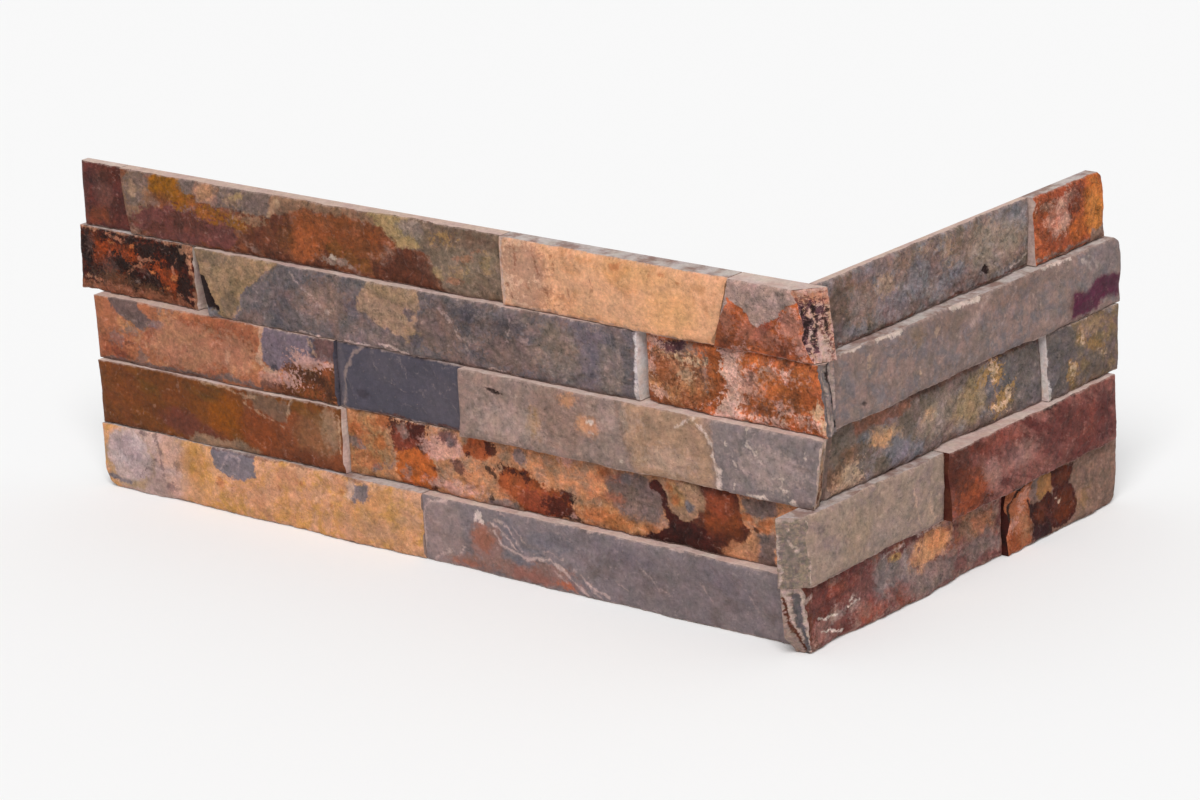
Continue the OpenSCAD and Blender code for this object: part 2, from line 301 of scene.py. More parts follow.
def inside(tree, at, shape):
    """Depth, in mm, of the point at inside a shape; negative outside it."""
    kind = shape[0]
    if kind == "oval":
        _, s, z, rs, rz, turn = shape
        away = tree.vector("SUBTRACT", at, (s, z, 0.0))
        if turn:
            away = tree.put("ShaderNodeVectorRotate", {"rotation_type": "Z_AXIS"},
                            {"Vector": away, "Angle": -math.radians(turn)})
        far = tree.vector("LENGTH", tree.vector("MULTIPLY", away, (1 / rs, 1 / rz, 0.0)), out=1)
        least = min(rs, rz)
        return far.plus(-least, least)
    if kind == "line":
        _, width, points = shape
        best = None
        for a, b in zip(points, points[1:]):
            along = (b[0] - a[0], b[1] - a[1], 0.0)
            squared = along[0] ** 2 + along[1] ** 2
            away = tree.vector("SUBTRACT", at, (a[0], a[1], 0.0))
            share = tree.vector("DOT_PRODUCT", away, tuple(c / squared for c in along), out=1)
            share = tree.put("ShaderNodeClamp", None, [share, 0.0, 1.0])
            foot = tree.vector("SCALE", along, scale=share)
            far = tree.vector("DISTANCE", away, foot, out=1)
            best = far if best is None else best.least(far)
        return best.plus(-1.0, width / 2)
    ring = [(s, z, 0.0) for s, z in shape[1]]
    parts = convex_parts(ring if area(ring) > 0 else ring[::-1])
    best = None
    for part in parts:
        edges = list(zip(part, part[1:] + part[:1]))
        if len(parts) > 1:
            # The slack of the cuts reaches no further than the part's own box
            west, east = min(c[0] for c in part), max(c[0] for c in part)
            foot, head = min(c[1] for c in part), max(c[1] for c in part)
            box = [(west, foot, 0.8), (east, foot, 0.8), (east, head, 0.8), (west, head, 0.8)]
            edges += zip(box, box[1:] + box[:1])
        depth = None
        for (s, z, slack), (s_next, z_next, _) in edges:
            inward = Vector((z - z_next, s_next - s, 0)).normalized()
            edge = tree.vector("DOT_PRODUCT", at, tuple(inward), out=1) + (slack - inward.x * s - inward.y * z)
            depth = edge if depth is None else depth.least(edge)
        best = depth if best is None else best.most(depth)
    return best


class Ground:
    """The fields that the colour and the relief of one face share, so that a broken leaf and its stain meet."""

    def __init__(self, tree, s, z, seed, fine=1.0):
        self.tree = tree
        self.s = s
        self.z = z
        self.flat = tree.join(s, z, seed * 37.0)
        self.bent = tree.join(s, z)
        for size, far, detail in ((13.0, 5.0, 1.0), (3.2, 3.4, 4.0)):
            _, bend = tree.noise(self.flat, size, detail, 0.66)
            bend = tree.vector("SUBTRACT", bend, (0.5, 0.5, 0.5))
            self.bent = tree.vector("ADD", self.bent, tree.vector("MULTIPLY", bend, (far, far, 0.0)))
        _, tatter = tree.noise(self.flat, 3.6 * fine, 6.0, 0.74)
        self.tatter = [p - 0.5 for p in tree.parts(tatter)]
        _, crumbs = tree.noise(self.flat, 1.9 * fine, 5.0, 0.7)
        self.crumbs = [p - 0.5 for p in tree.parts(crumbs)]
        # Height of the leaves: each whole number is one leaf
        height, _ = tree.noise(self.flat, 34.0, 6.0, 0.52)
        self.leaves = height * 9.0

    def mask(self, mark, number):
        depth = None
        for shape in mark.shapes:
            here = inside(self.tree, self.bent, shape)
            depth = here if depth is None else depth.most(here)
        if mark.ragged >= 8:
            depth = self.crumbs[number % 3].plus(mark.ragged * 1.9, depth)
        depth = self.tatter[number % 3].plus(mark.ragged * (0.55 if mark.ragged >= 8 else 2.0), depth)
        return depth.steps(-mark.soft, mark.soft)


# The stones: node, leg, the ground's colours and the stains and painted shadows on it

Stone = namedtuple("Stone", "course leg seed slot ground marks end rough tilt sides tone")


def stone(course, leg, seed, slot, ground, marks, end=None, rough=1.0, tilt=0.0, sides=("mushroom", "mushroom"), tone=(1, 1, 1)):
    """end is the layered end at the corner: its three colours and its stains. sides are the plain ends' colours.
    tone lightens or darkens the whole face, in red, green and blue."""
    return Stone(course, leg, seed, slot, ground, marks, end, rough, tilt, sides, tone)


STONES = {
    "course_5_long_stone_1": stone(5, "long", 51, "maroon_slate", ("maroon", "plum", "maroon"), [
        stain("rose_brown", oval(-389, 18, 6, 9), soft=3, ragged=5, much=0.35),
        stain("umber", oval(-384, 25, 7, 4), soft=2, ragged=5, much=0.7),
        stain("rust_brown", oval(-394, 5, 8, 4), soft=2, ragged=4, much=0.8),
        stain("beige", poly((-379, 31), (-373, 31), (-369, 0), (-372, 0)), soft=1.2, ragged=2, much=0.5),
        stain("mushroom", line(1.0, (-379, 29), (-373, 24), (-372, 2)), soft=0.6, ragged=2, much=0.8),
        stain("coal", oval(-391, 22, 7, 3), oval(-381, 10, 4, 6), soft=2, ragged=8, much=0.45),
    ], rough=1.2, tone=(0.89, 0.7, 0.62)),
    "course_5_long_stone_2": stone(5, "long", 52, "brown_slate", ("rust_brown", "umber", "rose_brown"), [
        stain("brown", oval(-367, 19, 9, 12), soft=1.5, ragged=4),
        stain("taupe", oval(-368, 22, 6, 9), oval(-360, 27, 8, 3), soft=1.5, ragged=9, much=0.8),
        stain("tan", oval(-369, 21, 2.4, 3), oval(-358, 22, 4, 1.4), soft=1.2, ragged=6, much=0.6),
        stain("maroon", oval(-345, 8, 25, 8), oval(-318, 7, 12, 6), soft=0.9, ragged=6),
        stain("umber", oval(-338, 10, 12, 5), oval(-355, 5, 8, 3), soft=2, ragged=9, much=0.6),
        stain("taupe", oval(-336, 27, 8, 4), soft=1.2, ragged=4),
        stain("bronze", oval(-349, 26, 9, 7), soft=1.2, ragged=4),
        stain("nut", oval(-352, 20, 6, 2.6), soft=1.5, ragged=6, much=0.7),
        stain("bronze", oval(-337, 20, 7, 4), oval(-322, 16, 9, 3), oval(-306, 14, 7, 2.4), soft=0.9, ragged=8, much=0.85),
        stain("rust", oval(-333, 19, 4, 2), oval(-324, 15, 4, 1.4), soft=1.2, ragged=8, much=0.5),
        stain("rose_brown", poly((-331, 31), (-316, 31), (-317, 20), (-330, 20)), soft=0.7, ragged=3),
        stain("peach", oval(-324, 26, 6, 4), soft=2, ragged=5, much=0.5),
        stain("taupe", poly((-316, 31), (-284, 31), (-286, 19), (-316, 20)), soft=0.8, ragged=4),
        stain("straw", oval(-304, 26, 3.5, 1.5, 15), soft=0.7, ragged=3, much=0.8),
        stain("tan", oval(-308, 23, 5, 3), oval(-297, 17, 6, 2), soft=1.2, ragged=9, much=0.5),
        stain("umber", oval(-288, 9, 14, 6), soft=1.5, ragged=4, much=0.6),
        stain("brown", poly((-285, 31), (-226, 31), (-222, 24), (-262, 27), (-284, 20)), soft=1.0, ragged=4),
        stain("tan", line(3.0, (-286, 20), (-281, 27)), soft=0.8, ragged=3, much=0.8),
        stain("sienna", oval(-248, 17, 27, 8.5), oval(-266, 12, 10, 9), soft=1.4, ragged=5, much=0.85),
        stain("rust", oval(-266, 9, 8, 7), oval(-262, 22, 8, 3), soft=2, ragged=6, much=0.5),
        stain("nut", oval(-245, 23, 16, 2.4), oval(-230, 13, 8, 4), oval(-277, 12, 5, 6), soft=1.5, ragged=9, much=0.6),
        stain("tobacco", oval(-249, 10, 5, 4), oval(-240, 7, 5, 4), oval(-232, 5, 4, 3), soft=0.9, ragged=6, much=0.8),
        stain("mushroom", oval(-248, 4, 8, 2), soft=1.0, ragged=6, much=0.7),
        stain("pale", oval(-250, 7, 1.6, 1.2), soft=0.6, ragged=2, much=0.8),
        stain("drab", poly((-226, 31), (-150, 31), (-150, -2), (-186, -2), (-189, 10), (-196, 16), (-216, 18)),
              soft=0.8, ragged=4),
        stain("umber", oval(-172, 24, 16, 4), oval(-165, 5, 12, 4), soft=2, ragged=9, much=0.35),
        stain("ochre", oval(-186, 24, 5, 2), oval(-162, 15, 3, 4), oval(-177, 10, 4, 2), soft=0.8, ragged=11, much=0.5),
        stain("straw", poly((-229, 31), (-208, 31), (-198, 18), (-214, 17)), soft=0.9, ragged=4, much=0.85),
        stain("beige", oval(-204, 25, 8, 3.6), soft=1.2, ragged=4, much=0.9),
        stain("umber", oval(-205, 7, 15, 8), soft=1.0, ragged=4, much=0.9),
        stain("straw", oval(-189, 8, 3, 2.2), soft=0.9, ragged=4, much=0.7),
        stain("rust", oval(-175, 17, 4, 2), oval(-168, 20, 2.5, 1.6), oval(-181, 6, 3, 1.4), soft=0.9, ragged=5, much=0.55),
        stain("fawn", oval(-170, 12, 22, 12), soft=4, ragged=7, much=0.35),
    ], rough=1.2, tone=(1.08, 1.09, 1.06)),
    "course_5_long_stone_3": stone(5, "long", 53, "sand_slate", ("sand", "sand", "peach"), [
        stain("dull_sand", oval(-142, 15, 14, 17), soft=5, ragged=5, much=0.8),
        stain("honey", oval(-80, 24, 20, 5), oval(-62, 12, 14, 10), soft=5, ragged=4, much=0.35),
        stain("rust", oval(-90, 26, 3, 1.4), oval(-66, 26.5, 1.4, 1), oval(-73, 26, 0.9, 0.8), oval(-57, 24, 0.8, 0.8),
              soft=0.7, ragged=2.5, much=0.5),
        stain("rust_brown", line(0.7, (-104, 20), (-103, 16), (-105, 12)), soft=0.6, ragged=3, much=0.5, step=-0.3),
        stain("cream", oval(-143, 14, 10, 15), soft=2, ragged=11, much=0.4),
        stain("rust_brown", oval(-140, 20, 14, 9), oval(-136, 7, 12, 6), soft=0.8, ragged=14, much=0.4, step=-0.2),
        stain("tan", oval(-110, 16, 14, 10), oval(-86, 10, 12, 8), soft=1.2, ragged=13, much=0.2),
        stain("rust_brown", line(0.7, (-146, 27), (-144, 21), (-145, 17)), line(0.6, (-141, 14), (-139, 9)), line(0.7, (-135, 26), (-134, 20), (-131, 17)),
              line(0.6, (-130, 10), (-128, 4)), line(0.6, (-124, 24), (-123, 18)), line(0.6, (-150, 9), (-148, 5)), line(0.6, (-117, 13), (-115, 8)),
              soft=0.5, ragged=4, much=0.6, step=-0.35),
        stain("shell", line(1.6, (-153, 0), (-152.6, 30)), soft=0.6, ragged=2, much=0.6),
        stain("umber", line(1.6, (-68, 0.2), (-50, 0.4)), soft=0.6, ragged=2, much=0.7),
        stain("ash", line(0.8, (-160, 0.6), (-60, 0.6)), soft=0.6, ragged=3, much=0.6),
    ], rough=0.72, sides=("sand", "sand"), tone=(1.1, 1.1, 1.15)),
    "course_5_corner_stone": stone(5, "long", 54, "rust_slate", ("rust", "rust", "brick"), [
        stain("sienna", oval(-35, 8, 7, 8), oval(-29, 3, 4, 4), soft=1.5, ragged=5, much=0.8),
        stain("umber", oval(-20, 8, 16, 6), oval(-34, 9, 6, 8), soft=0.8, ragged=13, much=0.35),
        stain("umber", oval(-4, 5, 9, 4), oval(-36, 3, 3, 3), soft=1.5, ragged=6, much=0.7),
        stain("pink", oval(-2, 16, 6, 7), oval(-28, 1, 2.4, 2), oval(4, 8, 4, 8), soft=1.0, ragged=11, much=0.5),
        stain("rust_brown", oval(-20, 7, 12, 5), oval(-1, 12, 8, 8), oval(-37, 12, 5, 6), soft=0.8, ragged=13, much=0.5),
        stain("pink", oval(-18, 9, 14, 5), oval(-34, 14, 5, 6), soft=0.7, ragged=13, much=0.12),
        stain("mushroom", poly((-46, 8), (-41, 10.5), (-37, 14), (-33, 21), (-30, 22.5), (-26, 19), (-22, 15), (-18, 13.5), (-12, 15), (-8, 19),
              (-3, 23), (3, 24.5), (3, 34), (-50, 34)), soft=0.3, ragged=0.7, step=0.4),
        stain("ash", line(2.2, (-43, -1), (-41, 9), (-38, 14)), soft=0.5, ragged=1.5, much=0.9),
    ], end=("pink", "dull_sand", "rose", [
        stain("salmon", oval(4, 26, 5, 3), oval(11, 26, 3, 4), oval(2, 6, 2, 4), soft=1.2, ragged=6, much=0.7),
        stain("shell", oval(4, 5, 3, 5), line(1.4, (12.4, 21), (12.8, 8)), oval(7.6, 12, 0.8, 5), soft=0.8, ragged=4, much=0.7),
        stain("maroon", line(1.6, (10.6, 26), (11, 17)), oval(3.0, 17, 1.0, 5), oval(12, 2, 2.4, 1), oval(1.6, 9, 0.8, 4), oval(7.6, 24, 2, 1.6),
              soft=0.4, ragged=8, much=0.85),
        stain("violet", line(2.3, (9.4, 22), (9.0, 15), (10.2, 8), (11, 2)), line(1.5, (6.2, 23), (5.6, 15), (7.4, 5)), oval(4, 21, 1.2, 2.2),
              soft=0.35, ragged=6, much=0.9, step=-0.3),
        stain("coal", line(1.7, (9.2, 21), (9.4, 14), (10.8, 7), (11.2, 1)), line(1.1, (6.2, 22), (6.0, 14), (7.4, 6)), oval(2.8, 14, 0.7, 2),
              oval(1.6, 20, 0.6, 1.4), soft=0.3, ragged=4, much=0.9, step=-0.3),
    ]), rough=1.4, tone=(1.27, 1.18, 1.19)),
    "course_5_short_stone_1": stone(5, "short", 55, "grey_slate", ("taupe", "smoke", "moss"), [
        stain("moss", oval(12, 14, 9, 12), soft=2.5, ragged=6, much=0.8),
        stain("dark_grey", oval(14, 6, 8, 4), oval(6, 20, 3, 8), soft=2, ragged=6, much=0.6),
        stain("rust_brown", oval(22, 25, 9, 3), soft=2, ragged=7, much=0.35),
        stain("lilac", oval(50, 9, 11, 6), oval(37, 26, 7, 3), soft=3, ragged=7, much=0.3),
        stain("steel", oval(70, 14, 8, 9), oval(92, 9, 9, 4), oval(140, 25, 7, 4), soft=2.5, ragged=6, much=0.5),
        stain("brown", oval(30, 14, 12, 9), oval(58, 24, 10, 4), oval(104, 20, 12, 7), oval(134, 12, 10, 8), soft=1.2, ragged=12, much=0.4),
        stain("tan", oval(88, 21, 4, 6), oval(120, 22, 8, 4), oval(46, 18, 6, 5), oval(76, 26, 6, 2), soft=1.0, ragged=12, much=0.4),
        stain("umber", oval(10, 14, 9, 12), oval(60, 6, 14, 4), oval(100, 6, 12, 4), oval(82, 16, 8, 6), soft=1.0, ragged=12, much=0.3),
        stain("fawn", oval(125, 16, 20, 9), soft=4, ragged=7, much=0.5),
        stain("coal", oval(115.5, 7, 2.4, 1.8), soft=0.4, ragged=1.5, step=-0.9),
        stain("shell", line(1.0, (134, 2.6), (141, 3.8), (146, 6.6)), soft=0.5, ragged=2, much=0.6),
        stain("umber", line(1.0, (5, 0.6), (66, 0.6)), line(0.8, (90, 1), (146, 1)), soft=0.5, ragged=1.5, much=0.75),
    ], rough=1.3, tone=(1.36, 1.4, 1.43)),
    "course_5_short_stone_2": stone(5, "short", 56, "rust_slate", ("terracotta", "rust", "brick"), [
        stain("brick", oval(170, 26, 20, 5), oval(166, 6, 8, 4), soft=1.6, ragged=6, much=0.7),
        stain("brick", oval(157, 15, 5, 12), oval(172, 8, 6, 3), soft=1.5, ragged=9, much=0.6),
        stain("pink", oval(170, 14, 4, 4), oval(168, 22, 4, 2), oval(176, 25, 4, 1.4), oval(158, 24, 4, 1.6), oval(160, 17, 3, 2), oval(164, 11, 2, 1.4),
              soft=0.7, ragged=8, much=0.75),
        stain("pink", oval(166, 17, 9, 9), oval(176, 24, 6, 4), soft=0.6, ragged=13, much=0.45),
        stain("rust_brown", oval(158, 20, 7, 9), oval(172, 6, 10, 4), soft=0.7, ragged=13, much=0.5),
        stain("umber", oval(180, 22, 7, 6), oval(177, 13, 3, 4), soft=1.5, ragged=9, much=0.65),
        stain("maroon", oval(182, 27, 7, 2), soft=1, ragged=6, much=0.45),
        stain("orange", oval(195, 17, 8, 13), soft=2, ragged=3),
        stain("orange", oval(182, 9, 9, 5), soft=2.5, ragged=5, much=0.7),
        stain("honey", oval(195, 14, 7, 12), soft=3, ragged=7, much=0.4),
        stain("smoke", poly((189, -2), (204, -2), (204, 6.5), (193, 6.5)), line(1.6, (150, 2), (190, 2)), soft=0.7, ragged=3, much=0.8),
    ], rough=1.4, sides=("shell", "mushroom"), tone=(1.13, 1.02, 0.9)),
    "course_4_long_stone_1": stone(4, "long", 41, "maroon_slate", ("wine", "umber", "coal"), [
        stain("nut", oval(-398, 20, 6, 9), oval(-370, 20, 16, 7), oval(-352, 10, 12, 9), oval(-384, 10, 10, 6), soft=0.8, ragged=13, much=0.7),
        stain("sienna", oval(-388, 20, 8, 4), oval(-358, 15, 6, 6), oval(-349, 11, 7, 6), oval(-372, 19, 8, 3), soft=0.4, ragged=14, much=0.85),
        stain("rust", oval(-387, 20, 4, 2), oval(-357, 16, 3, 2.4), oval(-348, 12, 3, 3), oval(-371, 20, 4, 1), soft=0.4, ragged=14, much=0.8),
        stain("coal", oval(-376, 27, 14, 2.4), oval(-402, 18, 4, 10), oval(-374, 10, 5, 5), oval(-361, 9, 6, 5), oval(-341, 9, 5, 6), oval(-343, 23, 9, 6),
              oval(-362, 22, 8, 5), oval(-398, 9, 7, 3), oval(-380, 15, 7, 4), oval(-352, 25, 6, 3), soft=0.4, ragged=11, much=0.95),
        stain("purple_grey", oval(-388, 13, 6, 4), oval(-366, 13, 4, 1.6, -30), oval(-400, 22, 2, 4), soft=0.7, ragged=9, much=0.4),
        stain("moss", oval(-386, 7, 12, 4), oval(-364, 5, 10, 2.4), soft=1.0, ragged=9, much=0.6),
        stain("pink", oval(-380, 26, 3, 0.8), oval(-369, 15.5, 5, 0.8, 24), oval(-364, 19.5, 3, 0.7), oval(-346, 19, 3, 0.8, 60), oval(-343, 5, 3, 0.8),
              oval(-388, 27, 2, 0.7), oval(-400, 6, 3, 0.6), soft=0.4, ragged=5, much=0.6),
        stain("peach", oval(-347, 14, 2.0, 1.3), oval(-385, 23, 1.6, 0.8), oval(-352, 8, 1.4, 0.8), oval(-372, 24, 1.4, 0.8), oval(-360, 13, 1.2, 0.8),
              soft=0.4, ragged=3, step=0.2),
        stain("rose_brown", poly((-410, -2), (-410, 4), (-396, 4), (-380, 6), (-370, 3), (-352, 4), (-338, 2), (-334, -2)), soft=0.8, ragged=6),
        stain("shell", line(1.0, (-404, 6.5), (-397, 7)), line(1.4, (-408, 29.6), (-334, 29.8)), line(1.2, (-335, 0), (-335, 30)),
              soft=0.5, ragged=3, much=0.6),
        stain("shell", oval(-339, 27, 4, 2.4), oval(-336, 22, 1, 5), soft=0.6, ragged=6, much=0.6),
    ], rough=1.5, sides=("mushroom", "pale"), tone=(1.0, 0.63, 0.42)),
    "course_4_long_stone_2": stone(4, "long", 42, "grey_slate", ("slate", "dark_grey", "taupe"), [
        stain("ash", oval(-256, 15, 14, 7), oval(-222, 4, 12, 4), soft=4, ragged=6, much=0.75),
        stain("dull_gold", poly((-334, 32), (-281, 32), (-290, 24), (-300, 18), (-306, 10), (-307, 4), (-312, -2), (-334, -2)), soft=0.5, ragged=2.4, step=-0.35),
        stain("tan", oval(-302, 26, 14, 5), oval(-318, 20, 8, 8), soft=3, ragged=8, much=0.4),
        stain("moss", oval(-320, 27, 10, 3), oval(-312, 8, 4, 6), soft=2, ragged=7, much=0.6),
        stain("tan", line(1.0, (-284, 29), (-292, 24), (-298, 19)), line(1.0, (-306, 12), (-305, 6), (-309, 2)), soft=0.6, ragged=4, much=0.6),
        # Painted shadow: the open joint with stone 1 is painted near-black and set 1.6 mm back, standing in for the
        # deep shade inside the gap
        stain("coal", poly((-330.5, 23), (-326.4, 17), (-322, 9), (-317.6, 3.4), (-331, 2.6), (-336, 3.4), (-336, 22)), soft=0.4, ragged=1.0, step=-1.6),
        stain("steel", poly((-336, 3.4), (-319, 3.4), (-314, -2), (-336, -2)), soft=0.5, ragged=2, much=0.85),
        stain("brown", oval(-253, 18, 14, 9), oval(-190, 13, 14, 10), oval(-150, 10, 18, 8), oval(-122, 20, 10, 7), soft=1.2, ragged=12, much=0.35),
        stain("coal", oval(-276, 13, 9, 8), oval(-176, 21, 14, 6), oval(-150, 20, 9, 6), oval(-215, 6, 8, 3), soft=1.0, ragged=12, much=0.22),
        stain("shell", line(0.6, (-272, 27), (-264, 19), (-252, 12)), line(0.5, (-188, 24), (-180, 18), (-173, 7)), line(0.5, (-184, 8), (-170, 14)),
              line(0.4, (-148, 26), (-150, 14)), soft=0.5, ragged=5, much=0.35, step=0.1),
        stain("ink", oval(-282, 4.5, 3, 1.4, 30), oval(-172, 24, 5, 3), oval(-195, 27, 4, 3), oval(-236, 18, 6, 3), soft=1.2, ragged=7, much=0.45),
        stain("shell", line(1.0, (-273, 0.9), (-259, 0.9)), line(1.2, (-242, 1), (-230, 1)), line(1.2, (-224, 1.6), (-208, 1.6)),
              line(0.8, (-163, 0.8), (-153, 0.8)), soft=0.4, ragged=2, much=0.9),
        stain("tan", poly((-228, 32), (-199, 32), (-200, 16), (-206, 7), (-222, 11), (-234, 16), (-234, 22)), soft=1, ragged=4, much=0.85),
        stain("dull_gold", oval(-214, 26, 14, 4), oval(-204, 10, 4, 4), soft=2, ragged=6, much=0.55),
        stain("ink", oval(-203, 7, 4, 2.6, 30), oval(-205, 18, 2.6, 2), soft=0.8, ragged=4, much=0.7),
        stain("purple_grey", oval(-108, 25, 12, 5), oval(-106, 14, 6, 9), soft=1.8, ragged=7, much=0.5),
        stain("mushroom", oval(-104, 28, 3, 1.2), oval(-142, 25, 3, 1), oval(-172, 12, 2, 0.8), oval(-142, 17, 1.6, 0.8),
              soft=0.7, ragged=5, much=0.6),
        stain("fawn", oval(-124, 15, 14, 12), oval(-97, 10, 6, 10), soft=4, ragged=8, much=0.4),
        stain("mushroom", line(1.6, (-92, 26), (-91, 4)), line(1.0, (-98, 20), (-97, 6)), soft=1.2, ragged=5, much=0.5),
        stain("dark_grey", line(1.2, (-89, 24), (-88, 8)), line(1.0, (-95, 26), (-94, 10)), soft=1, ragged=5, much=0.5),
        stain("chalk", line(2.2, (-82.5, 1), (-81.8, 29)), soft=0.5, ragged=1.4, much=0.8),
    # The left end, inside the open joint, is sawn slate painted near-black as painted shade; the right end is pale sawn
    # slate
    ], rough=1.2, sides=("coal", "chalk"), tone=(1.12, 1.1, 1.14)),
    "course_4_corner_stone": stone(4, "long", 43, "rust_slate", ("rust", "terracotta", "rust_brown"), [
        stain("tan", oval(-62, 14, 17, 15), soft=2.5, ragged=12, much=0.55),
        stain("sienna", oval(-52, 7, 7, 6), oval(-72, 14, 7, 6), oval(-62, 4, 10, 4), oval(-66, 12, 6, 4), soft=1.0, ragged=12, much=0.75),
        stain("peach", oval(-66, 6, 6, 3), oval(-55, 12, 6, 5), oval(-74, 8, 4, 3), soft=0.8, ragged=11, much=0.55),
        stain("slate", oval(-62, 23, 7, 2), oval(-48, 18, 2.4, 6), oval(-58, 25, 4, 2), soft=0.9, ragged=8, much=0.6),
        stain("violet", oval(-65, 25.6, 7.5, 2.8), soft=0.6, ragged=4, much=0.9),
        stain("pink", oval(-74, 26, 5, 2), oval(-72, 5, 5, 2), oval(-76, 16, 2, 4), soft=0.6, ragged=9, much=0.6),
        stain("umber", oval(-60, 20, 9, 1.2), oval(-52, 15, 3, 4), oval(-73, 20, 3, 2), soft=0.6, ragged=9, much=0.7),
        stain("cream", oval(-58, 15, 4.0, 3.0), oval(-56, 21, 6, 1.2), soft=0.8, ragged=8, much=0.7),
        stain("sienna", poly((-46, 28), (-40, 28), (-39, 10), (-43, 3), (-46, 6)), soft=0.8, ragged=9, much=0.75),
        stain("pink", poly((-39, 30), (-27, 30), (-30, 20), (-30, 10), (-32, -2), (-43, -2), (-41, 6), (-37, 13), (-40, 20)), soft=0.6, ragged=8, much=0.9),
        stain("pink", oval(-24, 15, 8, 7), oval(-20, 2, 16, 3), oval(-12, 22, 10, 3), oval(6, 5, 8, 3), oval(-8, 9, 6, 3), soft=0.6, ragged=14, much=0.75),
        stain("rust_brown", oval(-16, 13, 18, 9), oval(4, 20, 8, 8), oval(-62, 12, 12, 8), soft=0.7, ragged=13, much=0.35),
        stain("sienna", oval(0, 15, 8, 6), oval(2, 4, 6, 3), oval(-20, 9, 6, 4), oval(-28, 24, 4, 3), soft=0.8, ragged=11, much=0.6),
        stain("umber", oval(2, 29, 12, 1.2), oval(-20, 6, 3, 2.4), oval(-36, 29.5, 4, 1), oval(-24, 18, 2, 3), oval(-12, 14, 2, 2), soft=0.6, ragged=9, much=0.5),
        stain("orange", oval(-14, 17, 7, 7), oval(-22, 26, 6, 2), oval(6, 24, 5, 3), soft=1.0, ragged=13, much=0.45),
        stain("cream", oval(9.5, 11, 3, 3.4), oval(13, 3, 2, 4), soft=0.6, ragged=5, much=0.7),
    ], end=("smoke", "ash", "dark_grey", [
        stain("shell", line(2.6, (1.6, 30), (1.8, 18), (0.8, 10)), line(0.7, (6.4, 26), (5.6, 8), (5, 0)), oval(4, 4, 1.6, 3), soft=0.6, ragged=2.4, much=0.75),
        stain("dark_grey", oval(8.6, 20, 1.2, 4), oval(7, 10, 0.8, 6), line(0.7, (9.6, 30), (8, 14), (6.6, 4)), soft=0.6, ragged=4, much=0.8),
        stain("coal", line(1.0, (4.4, 30), (4, 22), (3, 14), (1.6, 8), (0.4, 3)), soft=0.35, ragged=1.4, much=0.95, step=-0.5),
    ]), rough=1.6, tone=(1.24, 1.25, 1.2)),
    "course_4_short_stone_1": stone(4, "short", 44, "grey_slate", ("ash", "smoke", "beige"), [
        stain("dull_gold", oval(58, 25, 5, 4), oval(57, 9, 1.5, 1), soft=2.5, ragged=6, much=0.5),
        stain("brown", oval(80, 24, 14, 5), oval(128, 24, 20, 5), soft=5, ragged=7, much=0.35),
        stain("cream", oval(26.5, 23, 2, 2), oval(25, 18, 1, 1.6), oval(72, 23, 2.6, 1.4, 40), oval(57, 9, 1.2, 0.8), soft=0.8, ragged=5, much=0.5),
        stain("coal", oval(20, 6.3, 1.5, 0.7, -20), soft=0.4, ragged=1, much=0.75, step=-0.3),
        stain("shell", line(2.2, (98, 19), (110, 30)), soft=1.4, ragged=3, much=0.45),
        stain("pale", line(1.6, (8, 29.8), (20, 29.6)), line(2.0, (32, 29.6), (48, 29.6)), line(2.2, (84, 29.4), (102, 29.2)), line(1.2, (150, 29.8), (170, 29.6)),
              soft=0.4, ragged=3, much=0.8),
        stain("shell", line(0.7, (116, 12), (124, 20), (128, 27)), line(0.6, (60, 20), (70, 14)), line(0.6, (140, 20), (150, 12)), soft=0.6, ragged=3, much=0.35),
        stain("pale", line(0.7, (178, 27), (184, 20)), line(0.7, (182, 28), (190, 22)), line(0.5, (186, 24), (189, 20)), soft=0.5, ragged=4, much=0.45),
        stain("smoke", oval(192, 22, 14, 9), soft=4, ragged=5, much=0.6),
        stain("maroon", oval(175, 8, 7, 6), soft=2.5, ragged=4, much=0.6),
        stain("burgundy", poly((171, 3), (172, 14), (180, 12), (188, 16), (195, 14), (208, 13), (208, 5), (196, 6), (188, 3), (180, 2)),
              soft=1.3, ragged=3, much=0.95),
        stain("violet", oval(196, 11, 7, 2.4), oval(180, 5, 5, 2), soft=1, ragged=6, much=0.6),
        stain("umber", line(1.4, (176, 0.4), (188, 0.6)), soft=0.5, ragged=2, much=0.8),
    ], rough=0.8, tone=(1.01, 0.99, 1.01)),
    "course_3_long_stone_1": stone(3, "long", 31, "sand_slate", ("salmon", "salmon", "peach"), [
        stain("rust", oval(-385, 6, 14, 4), oval(-330, 26, 20, 4), soft=4, ragged=6, much=0.35),
        stain("dark_grey", poly((-388, 32), (-372, 32), (-358, 21), (-368, 17), (-384, 27)), soft=0.8, ragged=4, much=0.85),
        stain("lilac", oval(-357, 21, 4, 2.2), soft=1, ragged=4, much=0.6),
        stain("smoke", oval(-383, 11, 5, 3), oval(-375, 16, 4, 1.6), oval(-368, 5, 3, 3), oval(-352, 29, 4, 2), soft=1.0, ragged=8, much=0.55),
        stain("brick", oval(-386, 8, 7, 4), oval(-336, 12, 24, 14), oval(-312, 20, 14, 9), soft=1.5, ragged=14, much=0.35),
        stain("cream", oval(-340, 14, 24, 12), oval(-310, 14, 12, 10), soft=1.2, ragged=13, much=0.22),
        stain("coal", oval(-381, 4, 4, 1.6), oval(-377, 9, 3, 1.2), soft=0.8, ragged=5, much=0.55),
        stain("brick", oval(-362, 16, 1.6, 4), oval(-340, 27, 4, 2), oval(-385, 4, 8, 2), soft=0.8, ragged=6, much=0.5),
        stain("cream", oval(-314, 12, 1.8, 2.8), soft=1.2, ragged=4, much=0.4),
